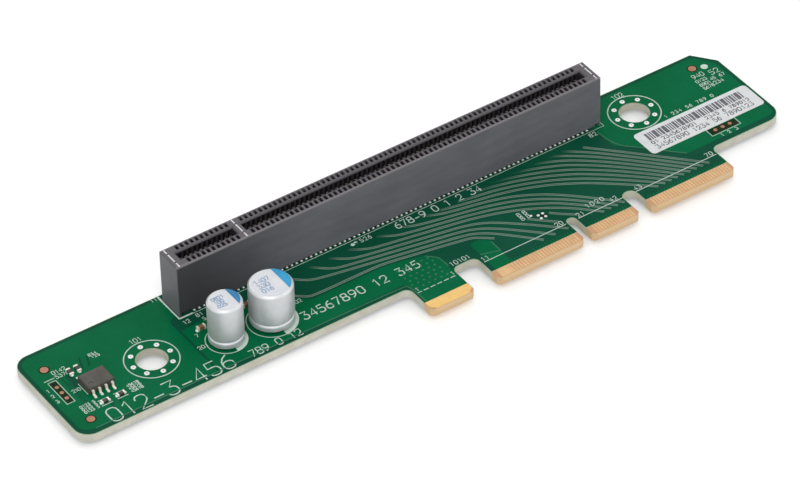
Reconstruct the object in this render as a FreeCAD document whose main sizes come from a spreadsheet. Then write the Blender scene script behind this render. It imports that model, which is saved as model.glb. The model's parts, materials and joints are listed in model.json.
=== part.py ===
"""PCI-style riser card: a long narrow circuit board with a sixteen-lane slot, a fine-pitch card
edge in three keyed tabs, a power tab, two polymer capacitors and a small identity chip.

Frame: origin on the axis of the left mounting hole, at the underside of the board.
+X runs along the card towards the diagonal corner, +Y towards its back edge, +Z up.
"""
import FreeCAD, Part
import math
import os
import re

import Sketcher

Vector = FreeCAD.Vector

doc = FreeCAD.newDocument("riser_card")

# ---------------------------------------------------------------- driving sizes, millimetres
SIZES = [
    ("Board", None),
    ("outside", 0.1),
    ("board_left", 20.0),
    ("board_length", 146.9),
    ("board_back", 13.2),
    ("board_depth", 23.5),
    ("board_thick", 1.6),
    ("end_corner_radius", 3.0),
    ("corner_cut_along", 3.3),
    ("corner_cut_across", 4.2),
    ("hole_radius", 2.75),
    ("right_hole_inset", 21.25),
    ("right_hole_across", 5.7),
    ("Card edge", None),
    ("tab_reach", 7.5),
    ("power_tab_start", 45.65),
    ("power_tab_width", 9.1),
    ("edge_start", 59.7),
    ("first_tab_width", 18.35),
    ("first_key_width", 1.8),
    ("second_tab_width", 10.1),
    ("second_key_width", 2.8),
    ("third_tab_width", 18.05),
    ("key_slot_depth", 6.5),
    ("key_round_share", 0.47),
    ("inner_corner_radius", 1.3),
    ("tab_corner", 1.0),
    ("tab_bevel", 0.42),
    ("bare_edge", 2.7),
    ("finger_pitch", 0.6),
    ("finger_width", 0.4),
    ("finger_thick", 0.05),
    ("finger_setback", 0.03),
    ("finger_side_margin", 1.0),
    ("third_finger_margin", 0.9),
    ("power_finger_margin", 0.12),
    ("wide_finger_contacts", 5),
    ("Slot", None),
    ("slot_first_pin", 12.65),
    ("slot_across", 9.2),
    ("slot_pitch", 1.0),
    ("slot_short_count", 11),
    ("slot_long_count", 71),
    ("slot_key_step", 3.0),
    ("slot_end_margin", 3.0),
    ("slot_width", 5.7),
    ("slot_height", 10.9),
    ("slot_edge_bevel", 0.15),
    ("card_slot_width", 1.8),
    ("card_slot_depth", 8.4),
    ("card_slot_margin", 0.95),
    ("card_slot_lead_in", 0.3),
    ("key_half_width", 0.9),
    ("slot_rail", 0.45),
    ("slot_side_wall", 0.35),
    ("slot_rail_height", 0.5),
    ("cavity_width", 0.6),
    ("side_relief_height", 0.45),
    ("end_relief_height", 0.8),
    ("end_relief_gap", 0.6),
    ("end_wall", 0.4),
    ("contact_width", 0.46),
    ("contact_thick", 0.18),
    ("contact_reach", 0.3),
    ("contact_bow_drop", 1.1),
    ("foot_overhang", 0.22),
    ("Hold-down plates", None),
    ("plate_thick", 0.26),
    ("plate_play", 0.03),
    ("plate_from_end", 0.75),
    ("plate_side_margin", 0.2),
    ("plate_top_drop", 0.02),
    ("plate_foot_height", 1.0),
    ("plate_notch", 0.35),
    ("plate_notch_across", 1.3),
    ("plate_tail_width", 0.8),
    ("plate_tail_across", 1.55),
    ("tail_length", 1.0),
    ("through_play", 0.15),
    ("solder_radius", 0.95),
    ("solder_tip_radius", 0.55),
    ("solder_height", 0.7),
    ("Capacitors", None),
    ("small_can_radius", 3.15),
    ("small_can_height", 8.55),
    ("small_can_lift", 0.45),
    ("small_can_along", 13.05),
    ("small_can_across", -3.15),
    ("small_lead_spread", 2.5),
    ("large_can_radius", 4.0),
    ("large_can_height", 7.9),
    ("large_can_lift", 0.6),
    ("large_can_along", 22.1),
    ("large_can_across", -3.5),
    ("large_lead_spread", 3.5),
    ("can_top_bevel", 0.45),
    ("can_bead_height", 1.0),
    ("can_groove_depth", 0.25),
    ("can_groove_height", 0.6),
    ("bung_inset", 0.55),
    ("lead_radius", 0.3),
    ("Chip", None),
    ("chip_along", -10.85),
    ("chip_across", 0.3),
    ("chip_length", 4.9),
    ("chip_width", 3.9),
    ("chip_height", 1.45),
    ("chip_lift", 0.15),
    ("chip_draft", 0.18),
    ("chip_span", 6.1),
    ("chip_pitch", 1.27),
    ("chip_leads_each_side", 4),
    ("chip_lead_width", 0.42),
    ("chip_lead_thick", 0.2),
    ("chip_foot", 0.65),
    ("chip_shoulder", 0.3),
    ("chip_dimple_radius", 0.45),
    ("chip_dimple_depth", 0.08),
    ("Small parts", None),
    ("resistor_length", 1.6),
    ("resistor_width", 0.8),
    ("resistor_height", 0.45),
    ("resistor_cap", 0.32),
    ("resistor_front_across", -4.5),
    ("resistor_front_along", -12.05),
    ("resistor_front_step", 3.1),
    ("resistor_rear_across", 5.15),
    ("resistor_rear_along", -13.1),
    ("resistor_rear_step", 1.5),
    ("chip_cap_length", 1.6),
    ("chip_cap_width", 0.8),
    ("chip_cap_height", 0.8),
    ("chip_cap_cap", 0.35),
    ("small_can_to_chip_cap_along", -2.1),
    ("small_can_to_chip_cap_across", 4.75),
    ("large_can_to_chip_cap_along", -1.7),
    ("large_can_to_chip_cap_across", 5.6),
    ("cap_shell", 0.04),
    ("Lands", None),
    ("land_thick", 0.1),
    ("fiducial_radius", 0.75),
    ("fiducial_end_inset", 3.7),
    ("fiducial_back_inset", 4.95),
    ("fiducial_front_inset", 3.5),
    ("fiducial_right_inset", 5.35),
    ("fiducial_right_back", 3.5),
    ("via_count", 8),
    ("via_circle_radius", 3.68),
    ("via_radius", 0.57),
    ("via_top_radius", 0.44),
    ("via_dome", 0.14),
    ("row_pad_radius", 0.4),
    ("row_pad_step", 1.6),
    ("row_pad_count", 3),
    ("left_row_inset", 3.15),
    ("left_row_across", 3.2),
    ("right_row_inset", 12.5),
    ("right_row_across", -6.75),
    ("test_pad_radius", 0.28),
    ("test_pad_along", 75.5),
    ("test_pad_across", -8.0),
    ("test_pad_step", 0.95),
    ("lone_test_pad_along", 73.9),
    ("lone_test_pad_across", -6.9),
    ("Label", None),
    ("label_length", 25.0),
    ("label_width", 6.4),
    ("label_thick", 0.1),
    ("label_corner", 0.8),
    ("label_right_inset", 0.55),
    ("label_across", -2.65),
]

sheet = doc.addObject("Spreadsheet::Sheet", "Sizes")
sheet.Label = "sizes"
for row, (word, number) in enumerate(SIZES, 1):
    sheet.set("A%d" % row, word)
    if number is not None:
        sheet.set("B%d" % row, str(number))
        sheet.setAlias("B%d" % row, word)
doc.recompute()


def size(alias):
    """The number in a named cell."""
    return float(sheet.get(alias))


CELLS = {word for word, number in SIZES if number is not None}


def with_cells(expression):
    """An expression in which each cell's name has become a reference to the sheet."""
    def refer(match):
        return "Sizes." + match[0] if match[0] in CELLS else match[0]

    return re.sub(r"[a-z_]+", refer, expression)


def bind(thing, prop, expression):
    """Tie a property to an expression in the cells."""
    thing.setExpression(prop, with_cells(expression))


def value(expression):
    """The number that an expression in the cells comes to."""
    return float(sheet.evalExpression(with_cells(expression)))


# Places that several pieces share, as expressions in the cells.
BOARD_RIGHT = "(board_length - board_left)"
BOARD_FRONT = "(board_back - board_depth)"
TAB_TIP = "(board_back - board_depth - tab_reach)"
FIRST_KEY = "(edge_start + first_tab_width)"
SECOND_TAB = "(edge_start + first_tab_width + first_key_width)"
SECOND_KEY = "(edge_start + first_tab_width + first_key_width + second_tab_width)"
THIRD_TAB = "(edge_start + first_tab_width + first_key_width + second_tab_width + second_key_width)"
EDGE_END = THIRD_TAB[:-1] + " + third_tab_width)"
SLOT_LONG_FIRST = "(slot_first_pin + slot_pitch * (slot_short_count - 1) + slot_key_step * slot_pitch)"
SLOT_LONG_LAST = SLOT_LONG_FIRST[:-1] + " + slot_pitch * (slot_long_count - 1))"
SLOT_LEFT = "(slot_first_pin - slot_end_margin)"
SLOT_RIGHT = SLOT_LONG_LAST[:-1] + " + slot_end_margin)"
KEY_MIDDLE = "(slot_first_pin + slot_pitch * (slot_short_count - 1) + 0.5 * slot_key_step * slot_pitch)"


# ---------------------------------------------------------------- making pieces
NEAR = 1e-4     # places closer together than this are the same place
pieces = []


def piece(kind, label):
    """A new object of the document whose shape is one sub-part."""
    made = doc.addObject(kind, label)
    made.Label = label
    pieces.append(made)
    return made


def helper(kind, name, **bound):
    """An object that feeds another one. Its named properties are tied to expressions."""
    made = doc.addObject(kind, name)
    for prop, expression in bound.items():
        bind(made, prop, expression)
    return made


def place(thing, x, y, z):
    """Tie an object's position to expressions."""
    bind(thing, ".Placement.Base.x", x)
    bind(thing, ".Placement.Base.y", y)
    bind(thing, ".Placement.Base.z", z)


def new_sketch(body, role, offset=("0", "0", "0")):
    """A sketch on one of the body's own origin planes, moved by an offset in the plane's axes."""
    plane = [feature for feature in body.Origin.OriginFeatures if feature.Role == role][0]
    sketch = body.newObject("Sketcher::SketchObject", "Sketch")
    sketch.AttachmentSupport = [(plane, "")]
    sketch.MapMode = "FlatFace"
    for axis, expression in zip("xyz", offset):
        bind(sketch, ".AttachmentOffset.Base." + axis, expression)
    return sketch


def pin_point(sketch, geometry, vertex, x, y):
    """Fix a sketch point at two distances from the sketch's origin."""
    for kind, expression in (("DistanceX", x), ("DistanceY", y)):
        index = sketch.addConstraint(Sketcher.Constraint(kind, -1, 1, geometry, vertex, value(expression)))
        bind(sketch, "Constraints[%d]" % index, expression)


def outline(sketch, corners):
    """A closed outline of straight lines through corners given as expressions."""
    points = [Vector(value(x), value(y), 0) for x, y in corners]
    count = len(points)
    first = sketch.GeometryCount
    for number in range(count):
        sketch.addGeometry(Part.LineSegment(points[number], points[(number + 1) % count]), False)
    for number in range(count):
        after = first + (number + 1) % count
        sketch.addConstraint(Sketcher.Constraint("Coincident", first + number, 2, after, 1))
    for number, (x, y) in enumerate(corners):
        pin_point(sketch, first + number, 1, x, y)


def rectangle(sketch, left, right, front, back):
    outline(sketch, [(left, front), (right, front), (right, back), (left, back)])


def circle(sketch, x, y, radius):
    centre = Vector(value(x), value(y), 0)
    index = sketch.addGeometry(Part.Circle(centre, Vector(0, 0, 1), value(radius)), False)
    pin_point(sketch, index, 3, x, y)
    number = sketch.addConstraint(Sketcher.Constraint("Radius", index, value(radius)))
    bind(sketch, "Constraints[%d]" % number, radius)


def pad(body, sketch, length, name="Pad"):
    """Grow a sketch along its own normal."""
    feature = body.newObject("PartDesign::Pad", name)
    feature.Profile = sketch
    bind(feature, "Length", length)
    doc.recompute()
    return feature


def pocket(body, sketch, depth=None, upward=False, symmetric=False, name="Pocket"):
    """Cut a sketch into the body: through all of it, or to a depth, downward unless told otherwise."""
    before = body.Shape.Volume
    feature = body.newObject("PartDesign::Pocket", name)
    feature.Profile = sketch
    feature.Reversed = upward
    if symmetric:
        feature.SideType = "Symmetric"
    if depth is None:
        feature.Type = "ThroughAll"
    else:
        bind(feature, "Length", depth)
    doc.recompute()
    if body.Shape.Volume > before - NEAR:
        raise ValueError("%s cuts nothing from %s" % (feature.Name, body.Label))
    return feature


def row_of(body, feature, sketch, count, step):
    """Repeat a feature along its sketch's normal."""
    pattern = body.newObject("PartDesign::LinearPattern", "Row")
    pattern.Originals = [feature]
    pattern.Direction = (sketch, ["N_Axis"])
    pattern.Mode = "Spacing"
    bind(pattern, "Offset", step)
    bind(pattern, "Occurrences", count)
    body.Tip = pattern
    doc.recompute()
    return pattern


def edges_where(shape, test):
    """Names of the edges whose middle point passes a test."""
    names = []
    for number, edge in enumerate(shape.Edges, 1):
        box = edge.BoundBox
        if test(edge, box.Center, box):
            names.append("Edge%d" % number)
    return names


def round_off(body, radius, test):
    """Round the edges of the body's tip that pass a test."""
    tip = body.Tip
    feature = body.newObject("PartDesign::Fillet", "Fillet")
    feature.Base = (tip, edges_where(tip.Shape, test))
    bind(feature, "Radius", radius)
    doc.recompute()
    return feature


def bevel(body, width, test):
    """Chamfer the edges of the body's tip that pass a test."""
    tip = body.Tip
    feature = body.newObject("PartDesign::Chamfer", "Chamfer")
    feature.Base = (tip, edges_where(tip.Shape, test))
    bind(feature, "Size", width)
    doc.recompute()
    return feature


def near(a, b):
    return abs(a - b) < NEAR


def upright(box):
    """Whether an edge's box stands along Z over the whole board."""
    return box.ZLength > value("board_thick") - NEAR and box.XLength < NEAR and box.YLength < NEAR


def strip(line, thick, width, side, x, y, z):
    """A flat strip bent along a line in the plane across the card.

    The line's points are (distance out, height). The strip is as wide as width, centred on x.
    side is -1 towards the front and 1 towards the back.
    """
    left = []
    right = []
    last = len(line) - 1
    for number, (out, up) in enumerate(line):
        before = line[max(number - 1, 0)]
        after = line[min(number + 1, last)]
        directions = []
        for start, end in ((before, (out, up)), ((out, up), after)):
            run = math.hypot(end[0] - start[0], end[1] - start[1])
            if run > 0:
                directions.append(((end[0] - start[0]) / run, (end[1] - start[1]) / run))
        along = (sum(d[0] for d in directions), sum(d[1] for d in directions))
        scale = math.hypot(*along)
        normal = (-along[1] / scale, along[0] / scale)
        reach = 0.5 * thick * len(directions) / scale
        left.append((out + normal[0] * reach, up + normal[1] * reach))
        right.append((out - normal[0] * reach, up - normal[1] * reach))
    ring = left + right[::-1]
    points = [Vector(x - 0.5 * width, y + side * out, z + up) for out, up in ring]
    face = Part.Face(Part.makePolygon(points + points[:1]))
    return face.extrude(Vector(width, 0, 0))


def slab(x, y, z, length, width, height):
    """A box centred on x and y, standing on z."""
    return Part.makeBox(length, width, height, Vector(x - 0.5 * length, y - 0.5 * width, z))


def prism(x, y, z, radius, top_radius, height, sides=8):
    """An upright block with a regular outline, tapering to top_radius. Height may be negative."""
    angles = [2 * math.pi * (number + 0.5) / sides for number in range(sides)]
    low = [Vector(x + radius * math.cos(turn), y + radius * math.sin(turn), z) for turn in angles]
    high = [Vector(x + top_radius * math.cos(turn), y + top_radius * math.sin(turn), z + height)
            for turn in angles]
    outlines = [low, high]
    for number in range(sides):
        after = (number + 1) % sides
        outlines.append([low[number], low[after], high[after], high[number]])
    faces = [Part.Face(Part.makePolygon(corners + corners[:1])) for corners in outlines]
    return Part.makeSolid(Part.makeShell(faces))


def group(label, shapes):
    """One sub-part made of several equal solids."""
    made = piece("Part::Feature", label)
    made.Shape = Part.makeCompound(shapes)
    return made


# ---------------------------------------------------------------- circuit board
def mount_holes():
    """The two mounting holes' axes, as expressions."""
    return [("0", "0"), ("%s - right_hole_inset" % BOARD_RIGHT, "right_hole_across")]


def via_spots(x, y):
    """Solder-filled vias evenly round a mounting hole."""
    spots = []
    for number in range(int(size("via_count"))):
        angle = 2 * math.pi * number / size("via_count")
        spots.append(("%s + via_circle_radius * %.6f" % (x, math.cos(angle)),
                      "%s + via_circle_radius * %.6f" % (y, math.sin(angle))))
    return spots


def capacitor_leads(kind):
    """The two lead axes of a capacitor, as expressions."""
    return [("%s_can_along %s 0.5 * %s_lead_spread" % (kind, sign, kind), "%s_can_across" % kind)
            for sign in "-+"]


def plate_places():
    """X of the three hold-down plates, as expressions."""
    return {"left": "%s + plate_from_end" % SLOT_LEFT,
            "key": KEY_MIDDLE,
            "right": "%s - plate_from_end" % SLOT_RIGHT}


def plate_tails():
    """Axes of the plates' tails, as expressions."""
    return [(x, "slot_across %s plate_tail_across" % sign) for x in plate_places().values() for sign in "-+"]


def make_board():
    body = piece("PartDesign::Body", "circuit_board")
    power_end = "(power_tab_start + power_tab_width)"
    plan = new_sketch(body, "XY_Plane")
    outline(plan, [
        ("-board_left", "board_back"),
        ("-board_left", BOARD_FRONT),
        ("power_tab_start", BOARD_FRONT),
        ("power_tab_start", TAB_TIP),
        (power_end, TAB_TIP),
        (power_end, BOARD_FRONT),
        ("edge_start", BOARD_FRONT),
        ("edge_start", TAB_TIP),
        (EDGE_END, TAB_TIP),
        (EDGE_END, BOARD_FRONT),
        (BOARD_RIGHT, BOARD_FRONT),
        (BOARD_RIGHT, "board_back - corner_cut_across"),
        ("%s - corner_cut_along" % BOARD_RIGHT, "board_back"),
    ])
    pad(body, plan, "board_thick")

    front = value(BOARD_FRONT)
    tip = value(TAB_TIP)
    left = -size("board_left")
    right = value(BOARD_RIGHT)
    round_off(body, "end_corner_radius", lambda edge, spot, box: upright(box) and (
        near(spot.x, left) or (near(spot.x, right) and near(spot.y, front))))
    round_off(body, "inner_corner_radius", lambda edge, spot, box: upright(box) and near(spot.y, front)
              and size("power_tab_start") - 1 < spot.x < value(EDGE_END) + 1)

    keys = new_sketch(body, "XY_Plane", ("0", "0", "board_thick"))
    key_top = "(%s + key_slot_depth)" % TAB_TIP
    rectangle(keys, FIRST_KEY, SECOND_TAB, "%s - outside" % TAB_TIP, key_top)
    rectangle(keys, SECOND_KEY, THIRD_TAB, "%s - outside" % TAB_TIP, key_top)
    pocket(body, keys, name="KeySlots")
    for left_side, right_side, width in ((FIRST_KEY, SECOND_TAB, "first_key_width"),
                                         (SECOND_KEY, THIRD_TAB, "second_key_width")):
        middle = 0.5 * (value(left_side) + value(right_side))
        reach = 0.5 * size(width) + NEAR
        round_off(body, "key_round_share * %s" % width, lambda edge, spot, box: upright(box)
                  and near(spot.y, value(key_top)) and abs(spot.x - middle) < reach)

    bevel(body, "tab_corner", lambda edge, spot, box: upright(box) and near(spot.y, tip))
    bevel(body, "tab_bevel", lambda edge, spot, box: near(spot.y, tip) and box.YLength < NEAR
          and box.ZLength < NEAR)

    drills = new_sketch(body, "XY_Plane", ("0", "0", "board_thick"))
    for x, y in mount_holes():
        circle(drills, x, y, "hole_radius")
    for kind in ("small", "large"):
        for x, y in capacitor_leads(kind):
            circle(drills, x, y, "lead_radius + through_play")
    half_thick = "(0.5 * plate_thick + through_play)"
    half_wide = "(0.5 * plate_tail_width + through_play)"
    for x, y in plate_tails():
        rectangle(drills, "%s - %s" % (x, half_thick), "%s + %s" % (x, half_thick),
                  "%s - %s" % (y, half_wide), "%s + %s" % (y, half_wide))
    pocket(body, drills, name="Drills")


# ---------------------------------------------------------------- card edge
def finger_centres(start, end, margin):
    """Finger centres across one tab, evenly pitched and centred on it."""
    pitch = size("finger_pitch")
    room = end - start - 2 * margin
    count = int(room / pitch + NEAR) + 1
    first = 0.5 * (start + end) - 0.5 * pitch * (count - 1)
    return [first + pitch * number for number in range(count)]


def make_fingers():
    """Gold fingers on both faces of the power tab and the three card edge tabs."""
    wide = size("finger_width")
    pitch = size("finger_pitch")
    back = value(TAB_TIP) + size("bare_edge")
    front = value(TAB_TIP) + size("tab_bevel") + size("finger_setback")
    middle = 0.5 * (front + back)
    thick = size("finger_thick")
    margin = size("finger_side_margin")
    merged = int(size("wide_finger_contacts"))
    power_start = size("power_tab_start") + size("power_finger_margin")
    power_end = size("power_tab_start") + size("power_tab_width") - size("power_finger_margin")
    cut = size("tab_corner")
    first = finger_centres(size("edge_start"), value(FIRST_KEY), margin)
    second = finger_centres(value(SECOND_TAB), value(SECOND_KEY), margin)
    third = finger_centres(value(THIRD_TAB), value(EDGE_END), size("third_finger_margin"))
    for face, z in (("top", size("board_thick")), ("bottom", -thick)):
        corners = [(power_start, back), (power_end, back), (power_end, front + cut),
                   (power_end - cut, front), (power_start + cut, front), (power_start, front + cut)]
        points = [Vector(x, y, z) for x, y in corners]
        power = Part.Face(Part.makePolygon(points + points[:1])).extrude(Vector(0, 0, thick))
        group("power_finger_" + face, [power])
        joined = slab(0.5 * (first[0] + first[merged - 1]), middle, z,
                      pitch * (merged - 1) + wide, back - front, thick)
        fine = [slab(x, middle, z, wide, back - front, thick) for x in first[merged:]]
        group("first_tab_fingers_" + face, [joined] + fine)
        group("second_tab_fingers_" + face, [slab(x, middle, z, wide, back - front, thick) for x in second])
        group("third_tab_fingers_" + face, [slab(x, middle, z, wide, back - front, thick) for x in third])


# ---------------------------------------------------------------- slot
def cavity_outline(side):
    """Section of one contact cavity: open below, open to the card slot under the rail, open on top."""
    across = "slot_across %s " % ("-" if side < 0 else "+")
    slot_wall = across + "0.5 * card_slot_width"
    rail = across + "(0.5 * card_slot_width + slot_rail)"
    wall = across + "(0.5 * slot_width - slot_side_wall)"
    below = "board_thick - outside"
    under_rail = "board_thick + slot_height - slot_rail_height"
    above = "board_thick + slot_height + outside"
    return [(slot_wall, below), (slot_wall, under_rail), (rail, under_rail), (rail, above), (wall, above),
            (wall, below)]


def make_housing():
    body = piece("PartDesign::Body", "slot_housing")
    front = "(slot_across - 0.5 * slot_width)"
    back = "(slot_across + 0.5 * slot_width)"
    plan = new_sketch(body, "XY_Plane", ("0", "0", "board_thick"))
    rectangle(plan, SLOT_LEFT, SLOT_RIGHT, front, back)
    pad(body, plan, "slot_height")
    top_z = value("board_thick + slot_height")
    bevel(body, "slot_edge_bevel", lambda edge, spot, box: near(box.ZMax, top_z))

    top = ("0", "0", "board_thick + slot_height")
    card = new_sketch(body, "XY_Plane", top)
    card_front = "slot_across - 0.5 * card_slot_width"
    card_back = "slot_across + 0.5 * card_slot_width"
    rectangle(card, "slot_first_pin - card_slot_margin", "%s - key_half_width" % KEY_MIDDLE,
              card_front, card_back)
    rectangle(card, "%s + key_half_width" % KEY_MIDDLE, "%s + card_slot_margin" % SLOT_LONG_LAST,
              card_front, card_back)
    pocket(body, card, "card_slot_depth", name="CardSlot")
    middle = size("slot_across")
    reach = 0.5 * size("card_slot_width") + NEAR
    bevel(body, "card_slot_lead_in", lambda edge, spot, box: near(box.ZMin, top_z)
          and box.YMin > middle - reach and box.YMax < middle + reach)

    inner_left = "(%s + end_wall)" % SLOT_LEFT
    inner_right = "(%s - end_wall)" % SLOT_RIGHT
    first_clear = "(slot_first_pin - end_relief_gap)"
    last_clear = "(%s + end_relief_gap)" % SLOT_LONG_LAST
    past_front, inner_front = "%s - outside" % front, "%s + slot_side_wall" % front
    past_back, inner_back = "%s + outside" % back, "%s - slot_side_wall" % back
    relief = new_sketch(body, "XY_Plane", ("0", "0", "board_thick"))
    outline(relief, [(inner_left, past_front), (inner_right, past_front), (inner_right, inner_front),
                     (last_clear, inner_front), (last_clear, inner_back), (inner_right, inner_back),
                     (inner_right, past_back), (inner_left, past_back), (inner_left, inner_back),
                     (first_clear, inner_back), (first_clear, inner_front), (inner_left, inner_front)])
    rectangle(relief, "%s - key_half_width" % KEY_MIDDLE, "%s + key_half_width" % KEY_MIDDLE,
              inner_front, inner_back)
    pocket(body, relief, "side_relief_height", upward=True, name="Underside")
    ends = new_sketch(body, "XY_Plane", ("0", "0", "board_thick"))
    for outer, inner in ((past_front, inner_front), (inner_back, past_back)):
        rectangle(ends, inner_left, first_clear, outer, inner)
        rectangle(ends, last_clear, inner_right, outer, inner)
    pocket(body, ends, "end_relief_height", upward=True, name="EndRelief")

    plates = new_sketch(body, "XY_Plane", top)
    for x in plate_places().values():
        half = "(0.5 * plate_thick + plate_play)"
        rectangle(plates, "%s - %s" % (x, half), "%s + %s" % (x, half),
                  "%s + plate_side_margin" % front, "%s - plate_side_margin" % back)
    pocket(body, plates, name="PlatePockets")

    for first_pin, count in (("slot_first_pin", "slot_short_count"), (SLOT_LONG_FIRST, "slot_long_count")):
        section = new_sketch(body, "YZ_Plane", ("0", "0", first_pin))
        outline(section, cavity_outline(-1))
        outline(section, cavity_outline(1))
        cavity = pocket(body, section, "cavity_width", symmetric=True, name="Cavity")
        row_of(body, cavity, section, count, "slot_pitch")


def make_contacts():
    """Sprung contacts: a foot on the board and a beam that leans out into the card slot."""
    thick = size("contact_thick")
    foot_end = 0.5 * size("slot_width") + size("foot_overhang")
    heel = 0.5 * (0.5 * size("card_slot_width") + size("slot_rail")
                  + 0.5 * size("slot_width") - size("slot_side_wall"))
    bow = 0.5 * size("card_slot_width") - size("contact_reach") + 0.5 * thick
    bow_height = size("slot_height") - size("slot_rail_height") - size("contact_bow_drop")
    line = [(foot_end, 0.5 * thick), (heel, 0.5 * thick), (bow, bow_height)]
    runs = {"short": (size("slot_first_pin"), int(size("slot_short_count"))),
            "long": (value(SLOT_LONG_FIRST), int(size("slot_long_count")))}
    for name, (first, count) in runs.items():
        for face, side in (("front", -1), ("back", 1)):
            strips = [strip(line, thick, size("contact_width"), side, first + size("slot_pitch") * number,
                            size("slot_across"), size("board_thick")) for number in range(count)]
            group("contacts_%s_%s" % (face, name), strips)


def make_plates():
    """Stamped plates that hold the slot down, each with two tails through the board."""
    half = "(0.5 * slot_width - plate_side_margin - plate_play)"
    top = "board_thick + slot_height - plate_top_drop"
    dip = "board_thick + slot_height - plate_top_drop - 2 * plate_notch"
    foot = "board_thick + plate_foot_height"
    end = "-tail_length"
    for name, x in plate_places().items():
        body = piece("PartDesign::Body", "hold_down_" + name)
        section = new_sketch(body, "YZ_Plane", ("0", "0", "%s - 0.5 * plate_thick" % x))
        y = "slot_across"
        outline(section, [
            (y + " - " + half, foot),
            (y + " - plate_tail_across - 0.5 * plate_tail_width", foot),
            (y + " - plate_tail_across - 0.5 * plate_tail_width", end),
            (y + " - plate_tail_across + 0.5 * plate_tail_width", end),
            (y + " - plate_tail_across + 0.5 * plate_tail_width", foot),
            (y + " + plate_tail_across - 0.5 * plate_tail_width", foot),
            (y + " + plate_tail_across - 0.5 * plate_tail_width", end),
            (y + " + plate_tail_across + 0.5 * plate_tail_width", end),
            (y + " + plate_tail_across + 0.5 * plate_tail_width", foot),
            (y + " + " + half, foot),
            (y + " + " + half, top),
            (y + " + plate_notch_across + 0.5 * plate_notch", top),
            (y + " + plate_notch_across + 0.5 * plate_notch", dip),
            (y + " + plate_notch_across - 0.5 * plate_notch", dip),
            (y + " + plate_notch_across - 0.5 * plate_notch", top),
            (y + " - plate_notch_across + 0.5 * plate_notch", top),
            (y + " - plate_notch_across + 0.5 * plate_notch", dip),
            (y + " - plate_notch_across - 0.5 * plate_notch", dip),
            (y + " - plate_notch_across - 0.5 * plate_notch", top),
            (y + " - " + half, top),
        ])
        pad(body, section, "plate_thick")


def solder_cones(label, spots, tool):
    """Solder fillets under the board, each pierced by the tail or lead that it holds."""
    height = size("solder_height")
    cones = []
    for x, y in spots:
        cone = prism(value(x), value(y), 0, size("solder_radius"), size("solder_tip_radius"), -height)
        cones.append(cone.cut(tool(value(x), value(y))))
    group(label, cones)


def make_plate_solder():
    def tail(x, y):
        return slab(x, y, -2 * size("tail_length"), size("plate_thick"), size("plate_tail_width"),
                    2 * size("tail_length"))

    solder_cones("hold_down_solder", plate_tails(), tail)


# ---------------------------------------------------------------- capacitors
def make_capacitor(kind):
    """A polymer capacitor: sealed can on a rubber bung, with two leads soldered below."""
    cell = kind + "_can_"
    radius = cell + "radius"
    lift = "board_thick + %slift" % cell
    top = "(%s + %sheight)" % (lift, cell)
    bead = "(%s + can_bead_height)" % lift
    spot = (cell + "along", cell + "across")

    can = piece("PartDesign::Body", "capacitor_%s_can" % kind)
    section = new_sketch(can, "XZ_Plane", (spot[0], "0", "-" + spot[1]))
    outline(section, [
        ("0", lift),
        (radius, lift),
        (radius, bead),
        (radius + " - can_groove_depth", bead + " + 0.5 * can_groove_height"),
        (radius, bead + " + can_groove_height"),
        (radius, top + " - can_top_bevel"),
        (radius + " - can_top_bevel", top),
        ("0", top),
    ])
    turn = can.newObject("PartDesign::Revolution", "Turn")
    turn.Profile = section
    turn.ReferenceAxis = (section, ["V_Axis"])
    turn.Angle = 360

    bung = piece("Part::Cylinder", "capacitor_%s_bung" % kind)
    bind(bung, "Radius", radius + " - bung_inset")
    bind(bung, "Height", cell + "lift")
    place(bung, spot[0], spot[1], "board_thick")

    leads = []
    for x, y in capacitor_leads(kind):
        lead = helper("Part::Prism", "Lead", Circumradius="lead_radius", Height="board_thick + tail_length")
        lead.Polygon = 8
        place(lead, x, y, "-tail_length")
        leads.append(lead)
    both = piece("Part::Compound", "capacitor_%s_leads" % kind)
    both.Links = leads
    doc.recompute()

    def lead_tool(x, y):
        nearest = min(leads, key=lambda lead: abs(lead.Placement.Base.x - x))
        return nearest.Shape

    solder_cones("capacitor_%s_solder" % kind, capacitor_leads(kind), lead_tool)


# ---------------------------------------------------------------- chip and small parts
def make_chip():
    """Eight-lead chip: moulded body tapered both ways from its parting line, gull-wing leads."""
    body = piece("PartDesign::Body", "chip_body")
    half_height = "(0.5 * chip_height)"
    plan = new_sketch(body, "XY_Plane", ("0", "0", "board_thick + chip_lift + " + half_height))
    left = "chip_along - 0.5 * chip_length"
    right = "chip_along + 0.5 * chip_length"
    rectangle(plan, left, right, "chip_across - 0.5 * chip_width", "chip_across + 0.5 * chip_width")
    block = body.newObject("PartDesign::Pad", "Block")
    block.Profile = plan
    block.SideType = "Symmetric"
    bind(block, "Length", "chip_height")
    doc.recompute()
    top = value("board_thick + chip_lift + chip_height")
    bevel(body, "chip_draft", lambda edge, spot, box: near(box.ZMin, top))
    mark = new_sketch(body, "XY_Plane", ("0", "0", "board_thick + chip_lift + chip_height"))
    circle(mark, left + " + 2 * chip_dimple_radius",
           "chip_across - 0.5 * chip_width + 2 * chip_dimple_radius", "chip_dimple_radius")
    pocket(body, mark, "chip_dimple_depth", name="Dimple")

    thick = size("chip_lead_thick")
    body_edge = 0.5 * size("chip_width")
    shoulder = body_edge + size("chip_shoulder")
    reach = 0.5 * size("chip_span")
    middle = size("chip_lift") + 0.5 * size("chip_height")
    line = [(body_edge, middle), (shoulder, middle), (reach - size("chip_foot"), 0.5 * thick),
            (reach, 0.5 * thick)]
    count = int(size("chip_leads_each_side"))
    first = size("chip_along") - 0.5 * size("chip_pitch") * (count - 1)
    leads = []
    for side in (-1, 1):
        for number in range(count):
            x = first + size("chip_pitch") * number
            leads.append(strip(line, thick, size("chip_lead_width"), side, x, size("chip_across"),
                               size("board_thick")))
    group("chip_leads", leads)


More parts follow.
